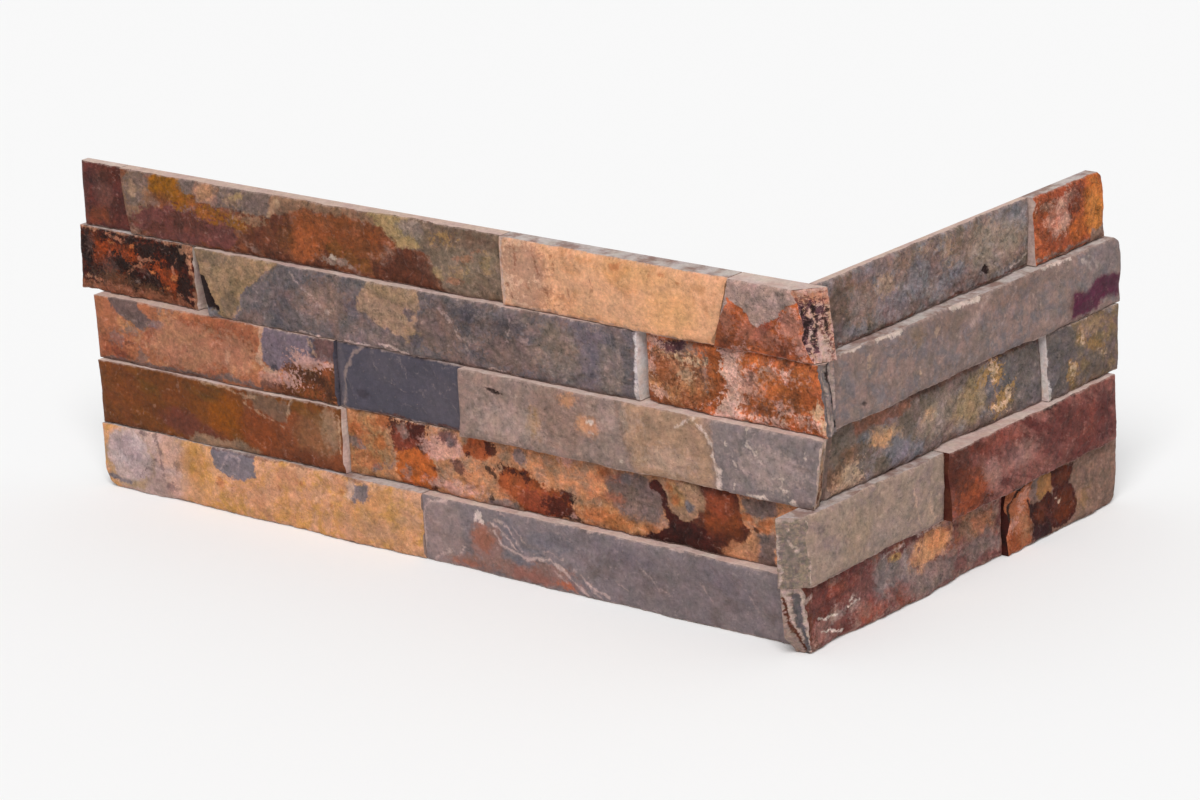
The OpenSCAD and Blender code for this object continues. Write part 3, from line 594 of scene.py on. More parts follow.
        stain("slate", line(2.0, (-394, 1), (-294, 1.5)), oval(-312, 2, 14, 1.6), soft=0.7, ragged=3, much=0.85),
        stain("lilac", poly((-293, 32), (-262, 32), (-260, 18), (-270, 16), (-280, 12), (-288, 10), (-294, 16)), soft=0.6, ragged=3, step=0.25),
        stain("cream", line(2.2, (-294, 31), (-295, 14), (-290, 10), (-283, 9)), soft=0.7, ragged=4, much=0.75),
        stain("pink", oval(-288, 6, 6, 4), soft=1.2, ragged=6, much=0.55),
        stain("tobacco", poly((-284, -2), (-250, -2), (-248, 20), (-256, 17), (-270, 12), (-278, 8)), soft=0.6, ragged=8),
        stain("nut", oval(-272, 12, 8, 5), oval(-278, 4, 6, 3), oval(-256, 10, 7, 9), soft=0.6, ragged=11, much=0.9),
        stain("rust", oval(-266, 5, 6, 3), oval(-256, 14, 3, 3), soft=0.8, ragged=11, much=0.5),
        stain("coal", oval(-266, 10, 9, 4), oval(-254, 5, 4, 3), soft=0.5, ragged=12, much=0.5),
        stain("pink", oval(-266, 18, 9, 4), oval(-257, 20, 5, 3), oval(-277, 8, 6, 2.4), soft=0.5, ragged=12, much=0.85),
        stain("umber", oval(-286, 2, 6, 2.6), oval(-292, 4, 2, 2), soft=0.8, ragged=5, much=0.7),
        stain("ink", oval(-286, 11.5, 2.4, 1.2), soft=0.5, ragged=3, much=0.9),
        stain("ink", poly((-266, 32), (-240, 32), (-246, 21), (-261, 19)), soft=0.6, ragged=2.5, much=0.75, step=-0.3),
        stain("cream", line(0.8, (-265, 29), (-260, 21)), soft=0.5, ragged=3, much=0.5),
    ], rough=0.95, sides=("mushroom", "ink"), tone=(0.86, 0.8, 0.8)),
    "course_3_long_stone_2": stone(3, "long", 32, "blue_slate", ("ink", "ink", "ink"), [
        stain("blue_grey", oval(-190, 12, 14, 12), oval(-222, 22, 10, 6), soft=5, ragged=6, much=0.35),
        stain("mushroom", line(1.3, (-232, 31), (-240, 25), (-244, 19), (-245.5, 12), (-246, -1)), soft=0.7, ragged=2, much=0.65, step=0.15),
        stain("blue_grey", oval(-252, 14, 7, 22), soft=1, ragged=3, much=0.6),
        stain("coal", oval(-235, 8, 2.6, 2), soft=1.0, ragged=4, much=0.35),
        stain("umber", oval(-220, 0.5, 12, 1.4), oval(-190, 0, 10, 0.8), soft=0.6, ragged=2, much=0.7),
    ], rough=0.45),
    "course_3_corner_stone": stone(3, "long", 33, "grey_slate", ("beige", "ash", "beige"), [
        stain("coal", oval(-157.5, 23.3, 3.8, 1.1, -8), soft=0.4, ragged=2, much=0.9, step=-0.9),
        stain("mushroom", line(1.0, (-161, 12), (-155, 15.5), (-151, 12)), line(1.1, (-125, 21), (-123, 14), (-120, 4)), oval(-124, 2, 3, 1.4),
              soft=0.8, ragged=3, much=0.6),
        stain("ochre", oval(-136, 12, 4, 7), soft=2, ragged=5, much=0.5),
        stain("brown", oval(-118, 18, 18, 14), soft=5, ragged=6, much=0.3),
        stain("peach", oval(-116, 26, 4.4, 2.4), oval(-106, 15, 6, 4.4), soft=1.6, ragged=6, much=0.65),
        stain("pale", oval(-106, 17.4, 1.7, 1.0), oval(-104, 13, 0.8, 0.6), oval(-89, 4, 1, 0.8), soft=0.5, ragged=2, much=0.9),
        stain("tan", poly((-88, 32), (-46, 32), (-42, 14), (-42, -2), (-80, -2), (-86, 12)), soft=3, ragged=5, much=0.8),
        stain("brown", line(1.0, (-81, 22), (-76, 13)), soft=1, ragged=3, much=0.4),
        stain("beige", poly((-112, -2), (-86, -2), (-90, 16), (-112, 12)), soft=2, ragged=5, much=0.6),
        stain("smoke", poly((-41, 32), (16, 32), (16, -2), (-38, -2), (-41, 16)), soft=0.8, ragged=3, much=0.9),
        stain("dusty", line(1.2, (-60, 24), (-52, 28), (-45, 24), (-42, 18), (-40.6, 8)), line(2.4, (-40, 8), (-39, -1)), line(2.0, (-52, 31), (-50, 28)),
              soft=0.6, ragged=3.5, much=0.75, step=0.15),
        stain("pale", line(0.7, (-24, 28), (-23, 23), (-19, 20), (-15, 14), (-11, 11), (-7, 12)), line(0.6, (-8, 13), (-7, 8), (-4, 4)), line(0.4, (-34, 22), (-30, 12), (-31, 3)),
              soft=0.5, ragged=4, much=0.5, step=0.1),
        stain("shell", oval(-150, 10, 18, 8), oval(-95, 22, 14, 5), oval(-64, 8, 14, 6), oval(-12, 14, 16, 9), soft=2, ragged=12, much=0.25),
        stain("brown", line(1.2, (-92, 30), (-88, 18), (-84, 6)), line(1.0, (-76, 26), (-70, 14)), soft=1.2, ragged=5, much=0.35),
        stain("pale", oval(-4, 7, 1.6, 0.8), oval(-2, 1.6, 1.6, 0.8), oval(-20, 0.6, 4, 0.9), oval(6, 22, 1, 2), soft=0.5, ragged=4, much=0.65),
    ], end=("tan", "mushroom", "rose_brown", [
        stain("taupe", poly((7, 31), (6, 16), (7, -2), (-1, -2), (-1, 31)), soft=0.8, ragged=4, much=0.85),
        stain("shell", line(4.2, (12.8, 30), (12.4, 18)), line(2.8, (12.4, 18), (11.4, 8), (10.4, 0)), oval(10, 28.5, 5, 1.6), soft=0.8, ragged=2.4, much=0.85),
        stain("tan", line(1.2, (10.4, 26), (10, 14), (9.4, 4)), soft=0.6, ragged=3, much=0.7),
        stain("umber", line(1.1, (14, 17), (13.4, 11), (12.6, 4), (12.2, 0)), line(0.7, (8.4, 16), (8.2, 0)), soft=0.35, ragged=1.4, step=-0.3),
    ]), rough=0.88, tone=(1.13, 1.09, 1.09)),
    "course_3_short_stone_1": stone(3, "short", 34, "olive_slate", ("taupe", "moss", "smoke"), [
        stain("moss", oval(12, 15, 16, 13), soft=4, ragged=6, much=0.7),
        stain("cream", oval(12, 5, 9, 5), oval(20, 4, 4, 4), oval(16, 10, 5, 2), soft=1.2, ragged=11, much=0.5),
        stain("tobacco", oval(5, 8, 6, 6), oval(16, 15, 8, 4), soft=2.5, ragged=7, much=0.45),
        stain("rust_brown", poly((20, 28), (58, 28), (56, 22), (22, 22)), soft=1.2, ragged=5, much=0.65),
        stain("tan", oval(38, 17, 9, 4, -6), oval(50, 14, 3, 1.6), oval(70, 17, 4, 3), soft=1.5, ragged=7, much=0.9),
        stain("peach", oval(37, 16, 6, 2.4, -6), oval(70, 17, 2.6, 1.8), soft=1.5, ragged=6, much=0.6),
        stain("steel", oval(48, 8, 9, 6), oval(62, 5, 5, 3), oval(27, 19, 3, 2), soft=2, ragged=7, much=0.85),
        stain("lilac", oval(50, 5, 6, 3), oval(78, 12, 3, 8), soft=2, ragged=8, much=0.5),
        stain("moss", oval(56, 17, 5, 6), oval(36, 5, 6, 4), soft=1.5, ragged=7, much=0.8),
        stain("fawn", oval(78, 14, 14, 10), soft=4, ragged=8, much=0.5),
        stain("straw", oval(102, 15, 13, 9, 30), soft=3, ragged=7, much=0.5),
        stain("dark_grey", poly((112, 20), (122, 26), (152, 26), (152, -2), (134, -2), (130, 14), (112, 10)), soft=2, ragged=5, much=0.8),
        stain("moss", oval(142, 18, 10, 8), oval(136, 6, 6, 5), soft=1.2, ragged=11, much=0.4),
        stain("ochre", oval(120, 21, 4, 5), oval(124, 8, 8, 4, 25), oval(112, 21, 6, 2, 20), soft=0.8, ragged=10, much=0.75),
        stain("cream", oval(118.5, 22, 1.8, 3), oval(127, 8.4, 2, 3), oval(121, 6, 2.4, 1.4), soft=0.5, ragged=9, much=0.8),
        stain("umber", line(3.6, (58, 28.5), (151, 28.5)), soft=0.8, ragged=2, much=0.55),
    ], rough=1.3, tone=(1.36, 1.37, 1.38)),
    "course_3_short_stone_2": stone(3, "short", 35, "olive_slate", ("taupe", "dull_gold", "smoke"), [
        stain("dark_grey", poly((150, 32), (170, 32), (175, 14), (165, -2), (150, -2)), soft=2, ragged=5, much=0.75),
        stain("ochre", oval(170, 8, 4, 5), oval(176, 23, 3, 4), oval(188, 16, 8, 2, -30), soft=1.2, ragged=6, much=0.65),
        stain("cream", oval(171, 8, 1.8, 2.6), oval(177, 22, 1.4, 2), oval(192, 11, 2.4, 1, -30), soft=0.5, ragged=9, much=0.8),
        stain("chalk", poly((149, -2), (153.2, -2), (153.8, 8), (153.2, 18), (151.6, 27), (149, 30)), soft=0.4, ragged=1.6, much=0.7),
        stain("dark_grey", line(4.0, (176, 17), (190, 9)), soft=1.4, ragged=4, much=0.6),
        stain("tan", oval(184, 26, 9, 4), soft=2, ragged=7, much=0.5),
        stain("moss", oval(188, 6, 12, 5), soft=3, ragged=7, much=0.6),
    ], rough=1.2, sides=("chalk", "mushroom")),
    "course_2_long_stone_1": stone(2, "long", 21, "brown_slate", ("tobacco", "nut", "olive"), [
        stain("rust_brown", oval(-382, 20, 10, 12), soft=5, ragged=4, much=0.3),
        stain("maroon", oval(-343, 8, 13, 6, -8), oval(-326, 6, 9, 3), soft=2.2, ragged=4, much=0.85),
        stain("gold", oval(-314, 16, 13, 9), soft=3.5, ragged=3, much=0.9),
        stain("rust_brown", poly((-306, 27), (-262, 22), (-246, 14), (-246, -2), (-296, -2), (-304, 6)), soft=2, ragged=4),
        stain("sienna", oval(-297, 12, 12, 9), soft=3, ragged=5, much=0.6),
        stain("nut", oval(-356, 26, 22, 3), oval(-300, 26, 10, 2), soft=2, ragged=5, much=0.6),
        stain("brown", oval(-262, 15, 13, 10), soft=4, ragged=6, much=0.7),
        stain("mushroom", poly((-342, -2), (-337, 4), (-328, 5.5), (-318, 3), (-310, 5), (-298, 1), (-298, -2)), soft=0.8, ragged=4, much=0.8),
        stain("slate", oval(-334, 1.6, 5, 1.2), oval(-308, 2.6, 5, 1.2), soft=0.8, ragged=4, much=0.7),
        stain("taupe", poly((-303, 29), (-275, 29), (-280, 19), (-298, 23)), soft=0.8, ragged=4, much=0.85),
        stain("shell", line(1.0, (-311, 29), (-303, 26), (-296, 28)), line(0.6, (-304, 23.5), (-281, 17)), line(0.6, (-277, 29), (-279, 20)),
              soft=0.5, ragged=4, much=0.45),
        stain("mushroom", oval(-254, 20, 5, 9), soft=1.8, ragged=6, much=0.75),
        stain("shell", line(0.8, (-248.5, 26), (-248.5, 10)), soft=0.5, ragged=1.5, much=0.6),
        stain("umber", oval(-270, 3, 18, 3), soft=2.5, ragged=5, much=0.5),
        stain("shell", line(1.0, (-330, 29.4), (-312, 29.2)), soft=0.5, ragged=2, much=0.5),
    ], rough=0.9, tilt=-28.0, sides=("mushroom", "dusty"), tone=(0.99, 0.83, 0.6)),
    "course_2_long_stone_2": stone(2, "long", 22, "rust_slate", ("peach", "tan", "peach"), [
        stain("ochre", oval(-236, 14, 14, 16), oval(-96, 6, 16, 7), soft=4, ragged=6, much=0.5),
        stain("orange", oval(-242, 21, 4, 3), oval(-228, 17, 4, 4), oval(-226, 27, 5, 2.6), oval(-104, 26, 3, 2.4), soft=1.2, ragged=5, much=0.6),
        stain("steel", oval(-243, 14, 6, 3), oval(-230, 5, 3.4, 1.4, 25), oval(-222, 7, 3, 1, 20), soft=0.8, ragged=4, much=0.75),
        stain("rust", oval(-240, 20, 6, 5), oval(-226, 26, 8, 3), oval(-236, 8, 8, 4), soft=1.2, ragged=9, much=0.45),
        stain("umber", poly((-222, 29), (-200, 30), (-199, 18), (-208, 12), (-220, 16)), soft=0.6, ragged=8),
        stain("brick", oval(-212, 20, 9, 7), soft=0.8, ragged=9, much=0.7),
        stain("orange", poly((-218, 16), (-200, 18), (-196, 8), (-198, -2), (-218, -2), (-219, 8)), soft=0.7, ragged=5),
        stain("coal", oval(-203, 18.5, 2.6, 2.2), oval(-223, 24, 1.2, 2), oval(-211, 25, 1, 3), soft=0.7, ragged=5, much=0.7),
        stain("wine", oval(-206, 26, 5, 4), oval(-197, 10.5, 2.2, 1.4), oval(-198, 2, 2, 1.4), soft=0.7, ragged=4, much=0.8),
        stain("mushroom", oval(-214, 25, 3, 3.4), oval(-214, 5, 2.4, 3), soft=1, ragged=6, much=0.6),
        stain("pink", oval(-192, 21, 11, 6), oval(-185, 4, 14, 3), soft=1.2, ragged=7, much=0.7),
        stain("plum", oval(-189, 27, 4, 2), oval(-183, 14, 5, 2.6, -15), oval(-186, 24, 2, 2), soft=0.8, ragged=5, much=0.8),
        stain("steel", oval(-188, 24.5, 1.6, 2.4), soft=0.8, ragged=3, much=0.6),
        stain("rust", oval(-173, 24, 8, 4.4), soft=0.7, ragged=4),
        stain("wine", oval(-166, 24.6, 2.8, 2.4), oval(-178, 21, 2, 1.4), soft=0.5, ragged=5, much=0.9),
        stain("coal", line(2.2, (-168, 17), (-163, 13)), oval(-165, 4, 1.0, 1.8), soft=0.5, ragged=3, much=0.85),
        stain("sienna", poly((-162, 10), (-158, 18), (-146, 18), (-134, 13), (-122, 11), (-122, 4), (-130, -2), (-146, -2), (-152, 5)), soft=0.5, ragged=4),
        stain("rust", oval(-153, 10, 8, 6), oval(-142, 9, 6, 4), soft=2.5, ragged=6, much=0.75),
        stain("brick", oval(-138, 5, 12, 6), soft=2, ragged=9, much=0.7),
        stain("wine", oval(-129, 5, 8, 5), oval(-124, 10, 3, 3), oval(-158, 17, 2, 1), oval(-153.5, 17, 1.2, 1.2), oval(-146, 15.4, 2, 1.4),
              soft=0.6, ragged=9, much=0.85),
        stain("coal", oval(-122, 10, 1.4, 2), oval(-121, 1.6, 3, 1.4), oval(-117, 1, 1, 1), oval(-148, 16.6, 1, 1), soft=0.5, ragged=3, much=0.8),
        stain("pink", oval(-122, 2.6, 3.4, 1.2), oval(-124, 27.4, 5, 2), soft=0.6, ragged=5, much=0.7),
        stain("smoke", poly((-172, -2), (-148, -2), (-152, 3), (-166, 3)), oval(-149, 24, 4, 3.4), soft=0.9, ragged=4, much=0.85),
        stain("slate", oval(-86, 17, 15, 10), oval(-98, 20, 5, 5), soft=1.5, ragged=6, much=0.9),
        stain("steel", oval(-92, 24, 4, 3), oval(-80, 12, 4, 3), soft=1.4, ragged=6, much=0.6),
        stain("ash", oval(-85, 12, 10, 6), oval(-76, 8, 5, 3), soft=2, ragged=7, much=0.55),
        stain("rust", oval(-105, 24, 3.6, 3), oval(-97, 24, 2, 2), oval(-103, 15, 8, 3), soft=1.6, ragged=7, much=0.45),
        stain("orange", oval(-104, 5, 14, 4), oval(-78, 4, 6, 2.6), soft=2, ragged=5, much=0.55),
        stain("tan", oval(-60, 24, 14, 5), oval(-33, 3, 9, 5), oval(-24, 12, 4, 10), soft=0.9, ragged=4, much=0.85),
        stain("umber", poly((-54, 14), (-53, 31), (-34, 31), (-32, 22), (-28, 13), (-31, 7), (-40, 3), (-44, -1), (-62, -1), (-62, 11)), soft=0.4, ragged=1.4),
        stain("sienna", oval(-41, 17, 10, 9), soft=3, ragged=6, much=0.85),
        stain("brick", oval(-42, 22, 9, 6), soft=3, ragged=7, much=0.4),
        stain("wine", poly((-72, 18), (-66, 14), (-60, 11), (-56, 12), (-50, 10), (-44, 0), (-88, -1), (-84, 2), (-75, 4), (-70, 8), (-72, 12)),
              line(3.4, (-77, 25), (-73, 21), (-71, 15)), oval(-76, 24.5, 3.4, 2.8), soft=0.4, ragged=1.6),
        stain("coal", oval(-62, 6, 9, 4.4), oval(-70, 1, 12, 1.8), oval(-87, 1.6, 1.6, 2), soft=2, ragged=4, much=0.6),
        stain("wine", oval(-46, 7, 9, 4, 20), soft=3, ragged=4, much=0.6),
        stain("tan", oval(-62, 20, 8.6, 8), soft=0.5, ragged=1.6),
        stain("ochre", oval(-65, 22, 5, 5), soft=1.5, ragged=4, much=0.6),
        stain("tan", oval(-54, 24, 4, 6, 20), soft=1, ragged=2, much=0.9),
        stain("orange", oval(-66, 20, 3, 2.6), oval(-69, 25, 2, 2), soft=1.2, ragged=4, much=0.55),
        stain("steel", oval(-57.6, 19, 2.6, 2.4), soft=0.8, ragged=2, much=0.9),
        stain("slate", poly((-32, 28), (-14, 28), (-14, 21), (-28, 21)), poly((-25, 12), (-16, 14), (-15, -2), (-26, -2)), soft=1.0, ragged=4, much=0.9),
        stain("orange", oval(-28, 20, 2.4, 1.4), oval(-21, 18, 4, 1.6, 12), oval(-22, 15, 4, 1.4, 12), soft=0.8, ragged=4, much=0.65),
        stain("coal", oval(-25, 14.6, 1.4, 1.8), soft=0.5, ragged=3, much=0.8),
        stain("peach", oval(-33, 3, 8, 5), oval(-27, 7, 3, 5), soft=1, ragged=3, much=0.6),
    ], rough=1.2, tone=(1.02, 0.92, 0.92)),
    "course_2_corner_stone": stone(2, "short", 23, "olive_slate", ("fawn", "fawn", "beige"), [
        stain("smoke", oval(-3, 12, 6, 5), oval(30, 8, 14, 5), soft=4, ragged=6, much=0.35),
        stain("straw", oval(12, 12, 14, 8), soft=6, ragged=6, much=0.2),
        stain("cream", line(0.9, (51, 24), (54, 14), (58, 3)), line(0.8, (64, 15), (65, 6), (68, 4)), oval(66, 4, 1.6, 1.4), line(1.6, (18, 29.6), (26, 29.6)),
              soft=0.8, ragged=4, much=0.45),
        stain("taupe", line(1.2, (-20, 0.3), (74, 0.3)), soft=0.6, ragged=2, much=0.7),
    ], end=("fawn", "beige", "taupe", [
        stain("dark_grey", oval(4, 14, 3, 12), oval(10.0, 20, 1.2, 8), soft=1, ragged=9, much=0.45),
        stain("shell", line(0.8, (9.6, 30), (10.2, 20), (11, 10), (11.4, 0)), line(0.8, (0.3, 23), (0.7, 17), (0.4, 12), (0.9, 7), (0.4, 1)), oval(5.2, 18, 0.5, 1.6, 30),
              oval(5.8, 15.6, 0.4, 1.0), oval(3, 24, 0.5, 0.8), soft=0.4, ragged=1.6, much=0.8, step=0.15),
        stain("shell", line(2.0, (0, 29.6), (12, 29.6)), soft=0.6, ragged=2, much=0.7),
    ]), rough=0.8, tone=(1.2, 1.15, 1.21)),
    "course_2_short_stone_1": stone(2, "short", 24, "maroon_slate", ("rose", "maroon", "rose"), [
        stain("umber", oval(81, 23, 9, 8), oval(90, 28, 12, 3), soft=2.5, ragged=5, much=0.9),
        stain("rust_brown", oval(88, 10, 14, 10, 15), soft=2.5, ragged=6, much=0.8),
        stain("rust", oval(88, 7, 12, 7, 15), soft=1.2, ragged=12, much=0.6),
        stain("umber", oval(82, 16, 8, 6), oval(92, 4, 8, 3), soft=1, ragged=12, much=0.5),
        stain("shell", oval(104, 13, 6, 6, 30), oval(125, 15, 12, 6), soft=3, ragged=7, much=0.4),
        stain("brick", oval(108, 25, 16, 4), oval(175, 14, 14, 9), soft=3, ragged=6, much=0.5),
        stain("maroon", oval(160, 18, 20, 9), oval(172, 6, 20, 5), soft=4, ragged=6, much=0.75),
        stain("plum", oval(190, 14, 8, 14), oval(118, 18, 5, 4), soft=3, ragged=6, much=0.6),
        stain("coal", line(1.6, (118, 0), (134, 0)), line(1.4, (143, 29.6), (168, 29.8)), soft=0.7, ragged=3, much=0.8),
    ], rough=1.2, tilt=-30.0, sides=("umber", "mushroom"), tone=(0.95, 0.76, 0.74)),
    "course_1_long_stone_1": stone(1, "long", 11, "sand_slate", ("sand", "honey", "peach"), [
        stain("shell", oval(-366, 14, 24, 20), soft=4, ragged=6, much=0.75),
        stain("dull_sand", oval(-350, 22, 10, 8), oval(-348, 6, 14, 5), soft=3, ragged=7, much=0.8),
        stain("straw", oval(-378, 15, 16.4, 14), soft=1.0, ragged=3, much=0.75),
        stain("shell", oval(-378, 17, 14.5, 12.5), soft=1.2, ragged=3, much=0.9),
        stain("lilac", oval(-378, 20, 9, 7), soft=4, ragged=7, much=0.32),
        stain("pale", oval(-372, 24, 5, 3), oval(-384, 14, 4, 3), soft=2, ragged=8, much=0.35),
        stain("mushroom", oval(-362, 8, 7, 10), soft=3, ragged=6, much=0.6),
        stain("taupe", line(1.1, (-372, 7), (-368, 12), (-361, 18)), line(1.0, (-362, 29), (-357, 20), (-356, 10)), oval(-348, 16, 2.6, 3.4), oval(-368, 28.6, 2, 1),
              oval(-354, 6, 3, 2), soft=0.8, ragged=5, much=0.7),
        stain("smoke", line(2.2, (-394, 5), (-380, 4)), soft=0.7, ragged=2, much=0.9),
        stain("bronze", oval(-337, 20, 9, 6), soft=3, ragged=5, much=0.5),
        stain("honey", oval(-335, 14, 12, 14), oval(-225, 14, 20, 13), soft=5, ragged=5, much=0.45),
        stain("peach", oval(-290, 14, 26, 11), oval(-240, 8, 24, 7), soft=2, ragged=11, much=0.4),
        stain("smoke", poly((-326, 32), (-299, 32), (-299, 20), (-304, 18.5), (-316, 18), (-323, 21), (-326, 26)), soft=0.5, ragged=2.5),
        stain("shell", line(0.8, (-320, 21), (-316, 28), (-309, 27), (-309, 22)), soft=0.6, ragged=3, much=0.45),
        stain("rust", oval(-321, 14, 2, 3), oval(-273, 21.5, 1.6, 0.7), oval(-263, 8, 1.4, 1), oval(-254, 15, 1.3, 0.9), oval(-247, 22, 1, 0.6),
              oval(-286, 17, 1, 0.7), soft=0.9, ragged=3, much=0.5),
        stain("ochre", oval(-262, 8, 14, 5), oval(-290, 6, 10, 4), soft=4, ragged=7, much=0.2),
        stain("tan", oval(-228, 8, 12, 5), oval(-210, 18, 8, 6), soft=4, ragged=7, much=0.5),
        stain("steel", oval(-236, 24, 5.4, 4.4), oval(-240, 20, 2, 1.6), soft=0.8, ragged=3.5, much=0.85),
        stain("pale", oval(-243, 24, 2.6, 5), soft=1.6, ragged=4, much=0.4),
        stain("umber", line(1.2, (-330, 29.8), (-202, 29.8)), soft=0.6, ragged=3, much=0.5),
    ], rough=0.85, tone=(0.97, 0.96, 1.08)),
    "course_1_long_stone_2": stone(1, "long", 12, "blue_slate", ("smoke", "smoke", "slate"), [
        stain("mushroom", oval(-190, 15, 12, 17), soft=3, ragged=5, much=0.5),
        stain("shell", line(1.1, (-201, 0), (-201, 22), (-197, 28), (-188, 30)), line(0.7, (-186, 4), (-178, 10)), line(0.6, (-195, 3), (-186, 8)),
              soft=0.6, ragged=2.5, much=0.7),
        stain("rose_brown", oval(-165, 14, 9, 10), oval(-174, 4, 12, 3), soft=1.5, ragged=5, much=0.85),
        stain("rust", oval(-167, 16, 5, 5), oval(-180, 2.6, 8, 1.6), soft=1.8, ragged=6, much=0.45),
        stain("rose_brown", oval(-140, 5, 26, 4.4), oval(-130, 9, 12, 2.6), soft=1.2, ragged=5, much=0.85),
        stain("brick", oval(-142, 4, 14, 2.6), soft=1.8, ragged=6, much=0.4),
        stain("terracotta", oval(-121, 3.4, 5, 2.4), soft=1, ragged=5, much=0.7),
        stain("shell", line(1.2, (-160, 20), (-157, 14), (-150, 12.6), (-141, 11), (-135, 12.4), (-128, 12.8), (-122, 9), (-117, 6), (-110, 1)),
              line(0.7, (-163, 25), (-156, 20), (-149, 14.5)), line(0.8, (-160, 26), (-152, 22), (-146, 14)),
              line(0.8, (-112, 8.5), (-106, 5), (-100, 1)), soft=0.55, ragged=2.0, much=0.75, step=0.2),
        stain("shell", line(0.7, (-158, 29), (-150, 24), (-143, 17)), line(0.6, (-140, 14), (-132, 16), (-124, 15)), line(0.6, (-118, 12), (-110, 8), (-104, 1)),
              line(0.5, (-128, 9), (-122, 5)), line(0.6, (-96, 10), (-90, 6)), soft=0.5, ragged=2.0, much=0.5, step=0.1),
        stain("steel", line(1.6, (-154, 21), (-146, 15), (-136, 15)), line(1.8, (-155, 11), (-147, 9.4), (-140, 9)), line(1.5, (-121, 7), (-114, 2)),
              line(1.2, (-116, 10), (-108, 5)), oval(-152, 25, 6, 2, -25), oval(-131, 21, 12, 4), soft=0.9, ragged=4, much=0.6),
        stain("dark_grey", line(1.0, (-181, 28), (-176, 22)), oval(-112, 26, 8, 3), oval(-125, 22, 6, 2), soft=1.2, ragged=4, much=0.5),
        stain("pale", oval(-170, 26, 2.6, 2, 60), oval(-167, 24, 1.4, 0.9), soft=0.6, ragged=4, much=0.8),
        stain("slate", oval(-60, 14, 40, 12), soft=6, ragged=6, much=0.45),
        stain("purple_grey", oval(-40, 22, 14, 4, -20), oval(-90, 22, 14, 4), soft=3, ragged=5, much=0.35),
        stain("shell", line(0.8, (-110, 29.4), (-90, 29.6)), line(0.8, (-70, 29.2), (-60, 29.4)), soft=0.4, ragged=3, much=0.6),
        stain("shell", line(0.5, (-84, 22), (-74, 12), (-66, 9)), line(0.5, (-52, 20), (-44, 10)), line(0.4, (-30, 24), (-22, 12)), soft=0.5, ragged=3, much=0.3),
    ], rough=0.7, tone=(1.04, 1.0, 1.05)),
    "course_1_corner_stone": stone(1, "short", 13, "maroon_slate", ("maroon", "rose_brown", "rust_brown"), [
        stain("ash", oval(30, 14, 18, 10), oval(0, 8, 12, 6), oval(60, 8, 12, 6), soft=1.0, ragged=13, much=0.55),
        stain("oxblood", oval(-10, 15, 9, 14), oval(8, 22, 10, 5), oval(6, 5, 8, 4), soft=1.5, ragged=7, much=0.75),
        stain("umber", oval(-18, 16, 3.4, 14), soft=0.9, ragged=3, much=0.9),
        stain("rose", oval(-8, 7, 7, 5), oval(20, 11, 6, 6), soft=1.5, ragged=10, much=0.6),
        stain("pale", line(0.8, (-10, 12.6), (-2, 11.2), (3, 11.6)), line(0.6, (-8, 7), (0, 4), (6, 3)), line(0.6, (10, 13), (18, 12)), oval(13, 15, 1.4, 1),
              soft=0.4, ragged=1.8, much=0.7),
        stain("maroon", oval(-10, 20, 8, 5), oval(16, 20, 8, 6), oval(50, 8, 4, 6), oval(30, 7, 5, 4), soft=1.2, ragged=11, much=0.7),
        stain("maroon", oval(25, 17, 10, 8), oval(44, 8, 8, 5), soft=2, ragged=5, much=0.8),
        stain("slate", oval(34, 18, 6, 9), oval(46, 15, 9, 8), soft=2, ragged=6, much=0.8),
        stain("brick", oval(46, 6, 6, 5), oval(24, 6, 8, 4), oval(4, 22, 8, 3), soft=1.8, ragged=7, much=0.5),
        stain("ochre", oval(45, 23.4, 4, 2), soft=1, ragged=3, much=0.8),
        stain("umber", oval(45, 23.4, 1.6, 0.8), soft=0.5, ragged=2, much=0.8),
        stain("mushroom", line(1.2, (50.5, 24), (51.6, 10)), soft=0.6, ragged=3, much=0.7),
        stain("peach", oval(68, 19, 14, 6, 12), soft=2, ragged=6, much=0.85),
        stain("orange", oval(74, 21, 6, 4, 12), soft=2, ragged=6, much=0.4),
        stain("taupe", oval(70, 7, 22, 6), oval(104, 8, 16, 6), soft=2.5, ragged=7, much=0.85),
        stain("maroon", oval(89, 6, 6, 4), oval(88, 21, 4, 3), oval(108, 3, 8, 2.4), soft=1.4, ragged=5, much=0.75),
        stain("brown", oval(101, 20, 13, 6), soft=2, ragged=6, much=0.85),
        stain("rust", oval(104, 19, 7, 4), soft=2, ragged=7, much=0.4),
        stain("shell", line(1.0, (34, 26), (50, 27)), line(1.0, (60, 27), (76, 27)), line(1.6, (-14, 24), (-18, 22)), soft=0.6, ragged=4, much=0.5),
    ], end=("mushroom", "ash", "rose_brown", [
        stain("dark_grey", poly((2.8, 27), (6.4, 27), (6.2, 14), (7.4, 6), (7.6, -1), (5, -1), (4.8, 10), (3.6, 18)), soft=0.5, ragged=2.4, much=0.95),
        stain("ink", line(0.9, (6.0, 24), (5.8, 14), (6.6, 4)), soft=0.5, ragged=3, much=0.6),
        stain("shell", line(1.1, (1.4, 28), (2.4, 20), (3.7, 12), (4.6, 7)), line(0.8, (0.3, 27), (0.6, 18)), soft=0.4, ragged=1.4, much=0.9, step=0.15),
        stain("umber", line(1.2, (0.5, 26), (1.4, 19), (2.6, 13), (3.9, 8), (4.6, 2)), soft=0.4, ragged=1.6, step=-0.3),
        stain("shell", line(1.2, (6.4, 28), (6.7, 20), (7.3, 10), (7.5, 1)), line(3.4, (0, 29.4), (8.5, 28.8)), soft=0.5, ragged=1.8, much=0.85),
    ]), rough=1.3, tone=(1.38, 1.42, 1.47)),
    "course_1_short_stone_1": stone(1, "short", 14, "rust_slate", ("ash", "beige", "ash"), [
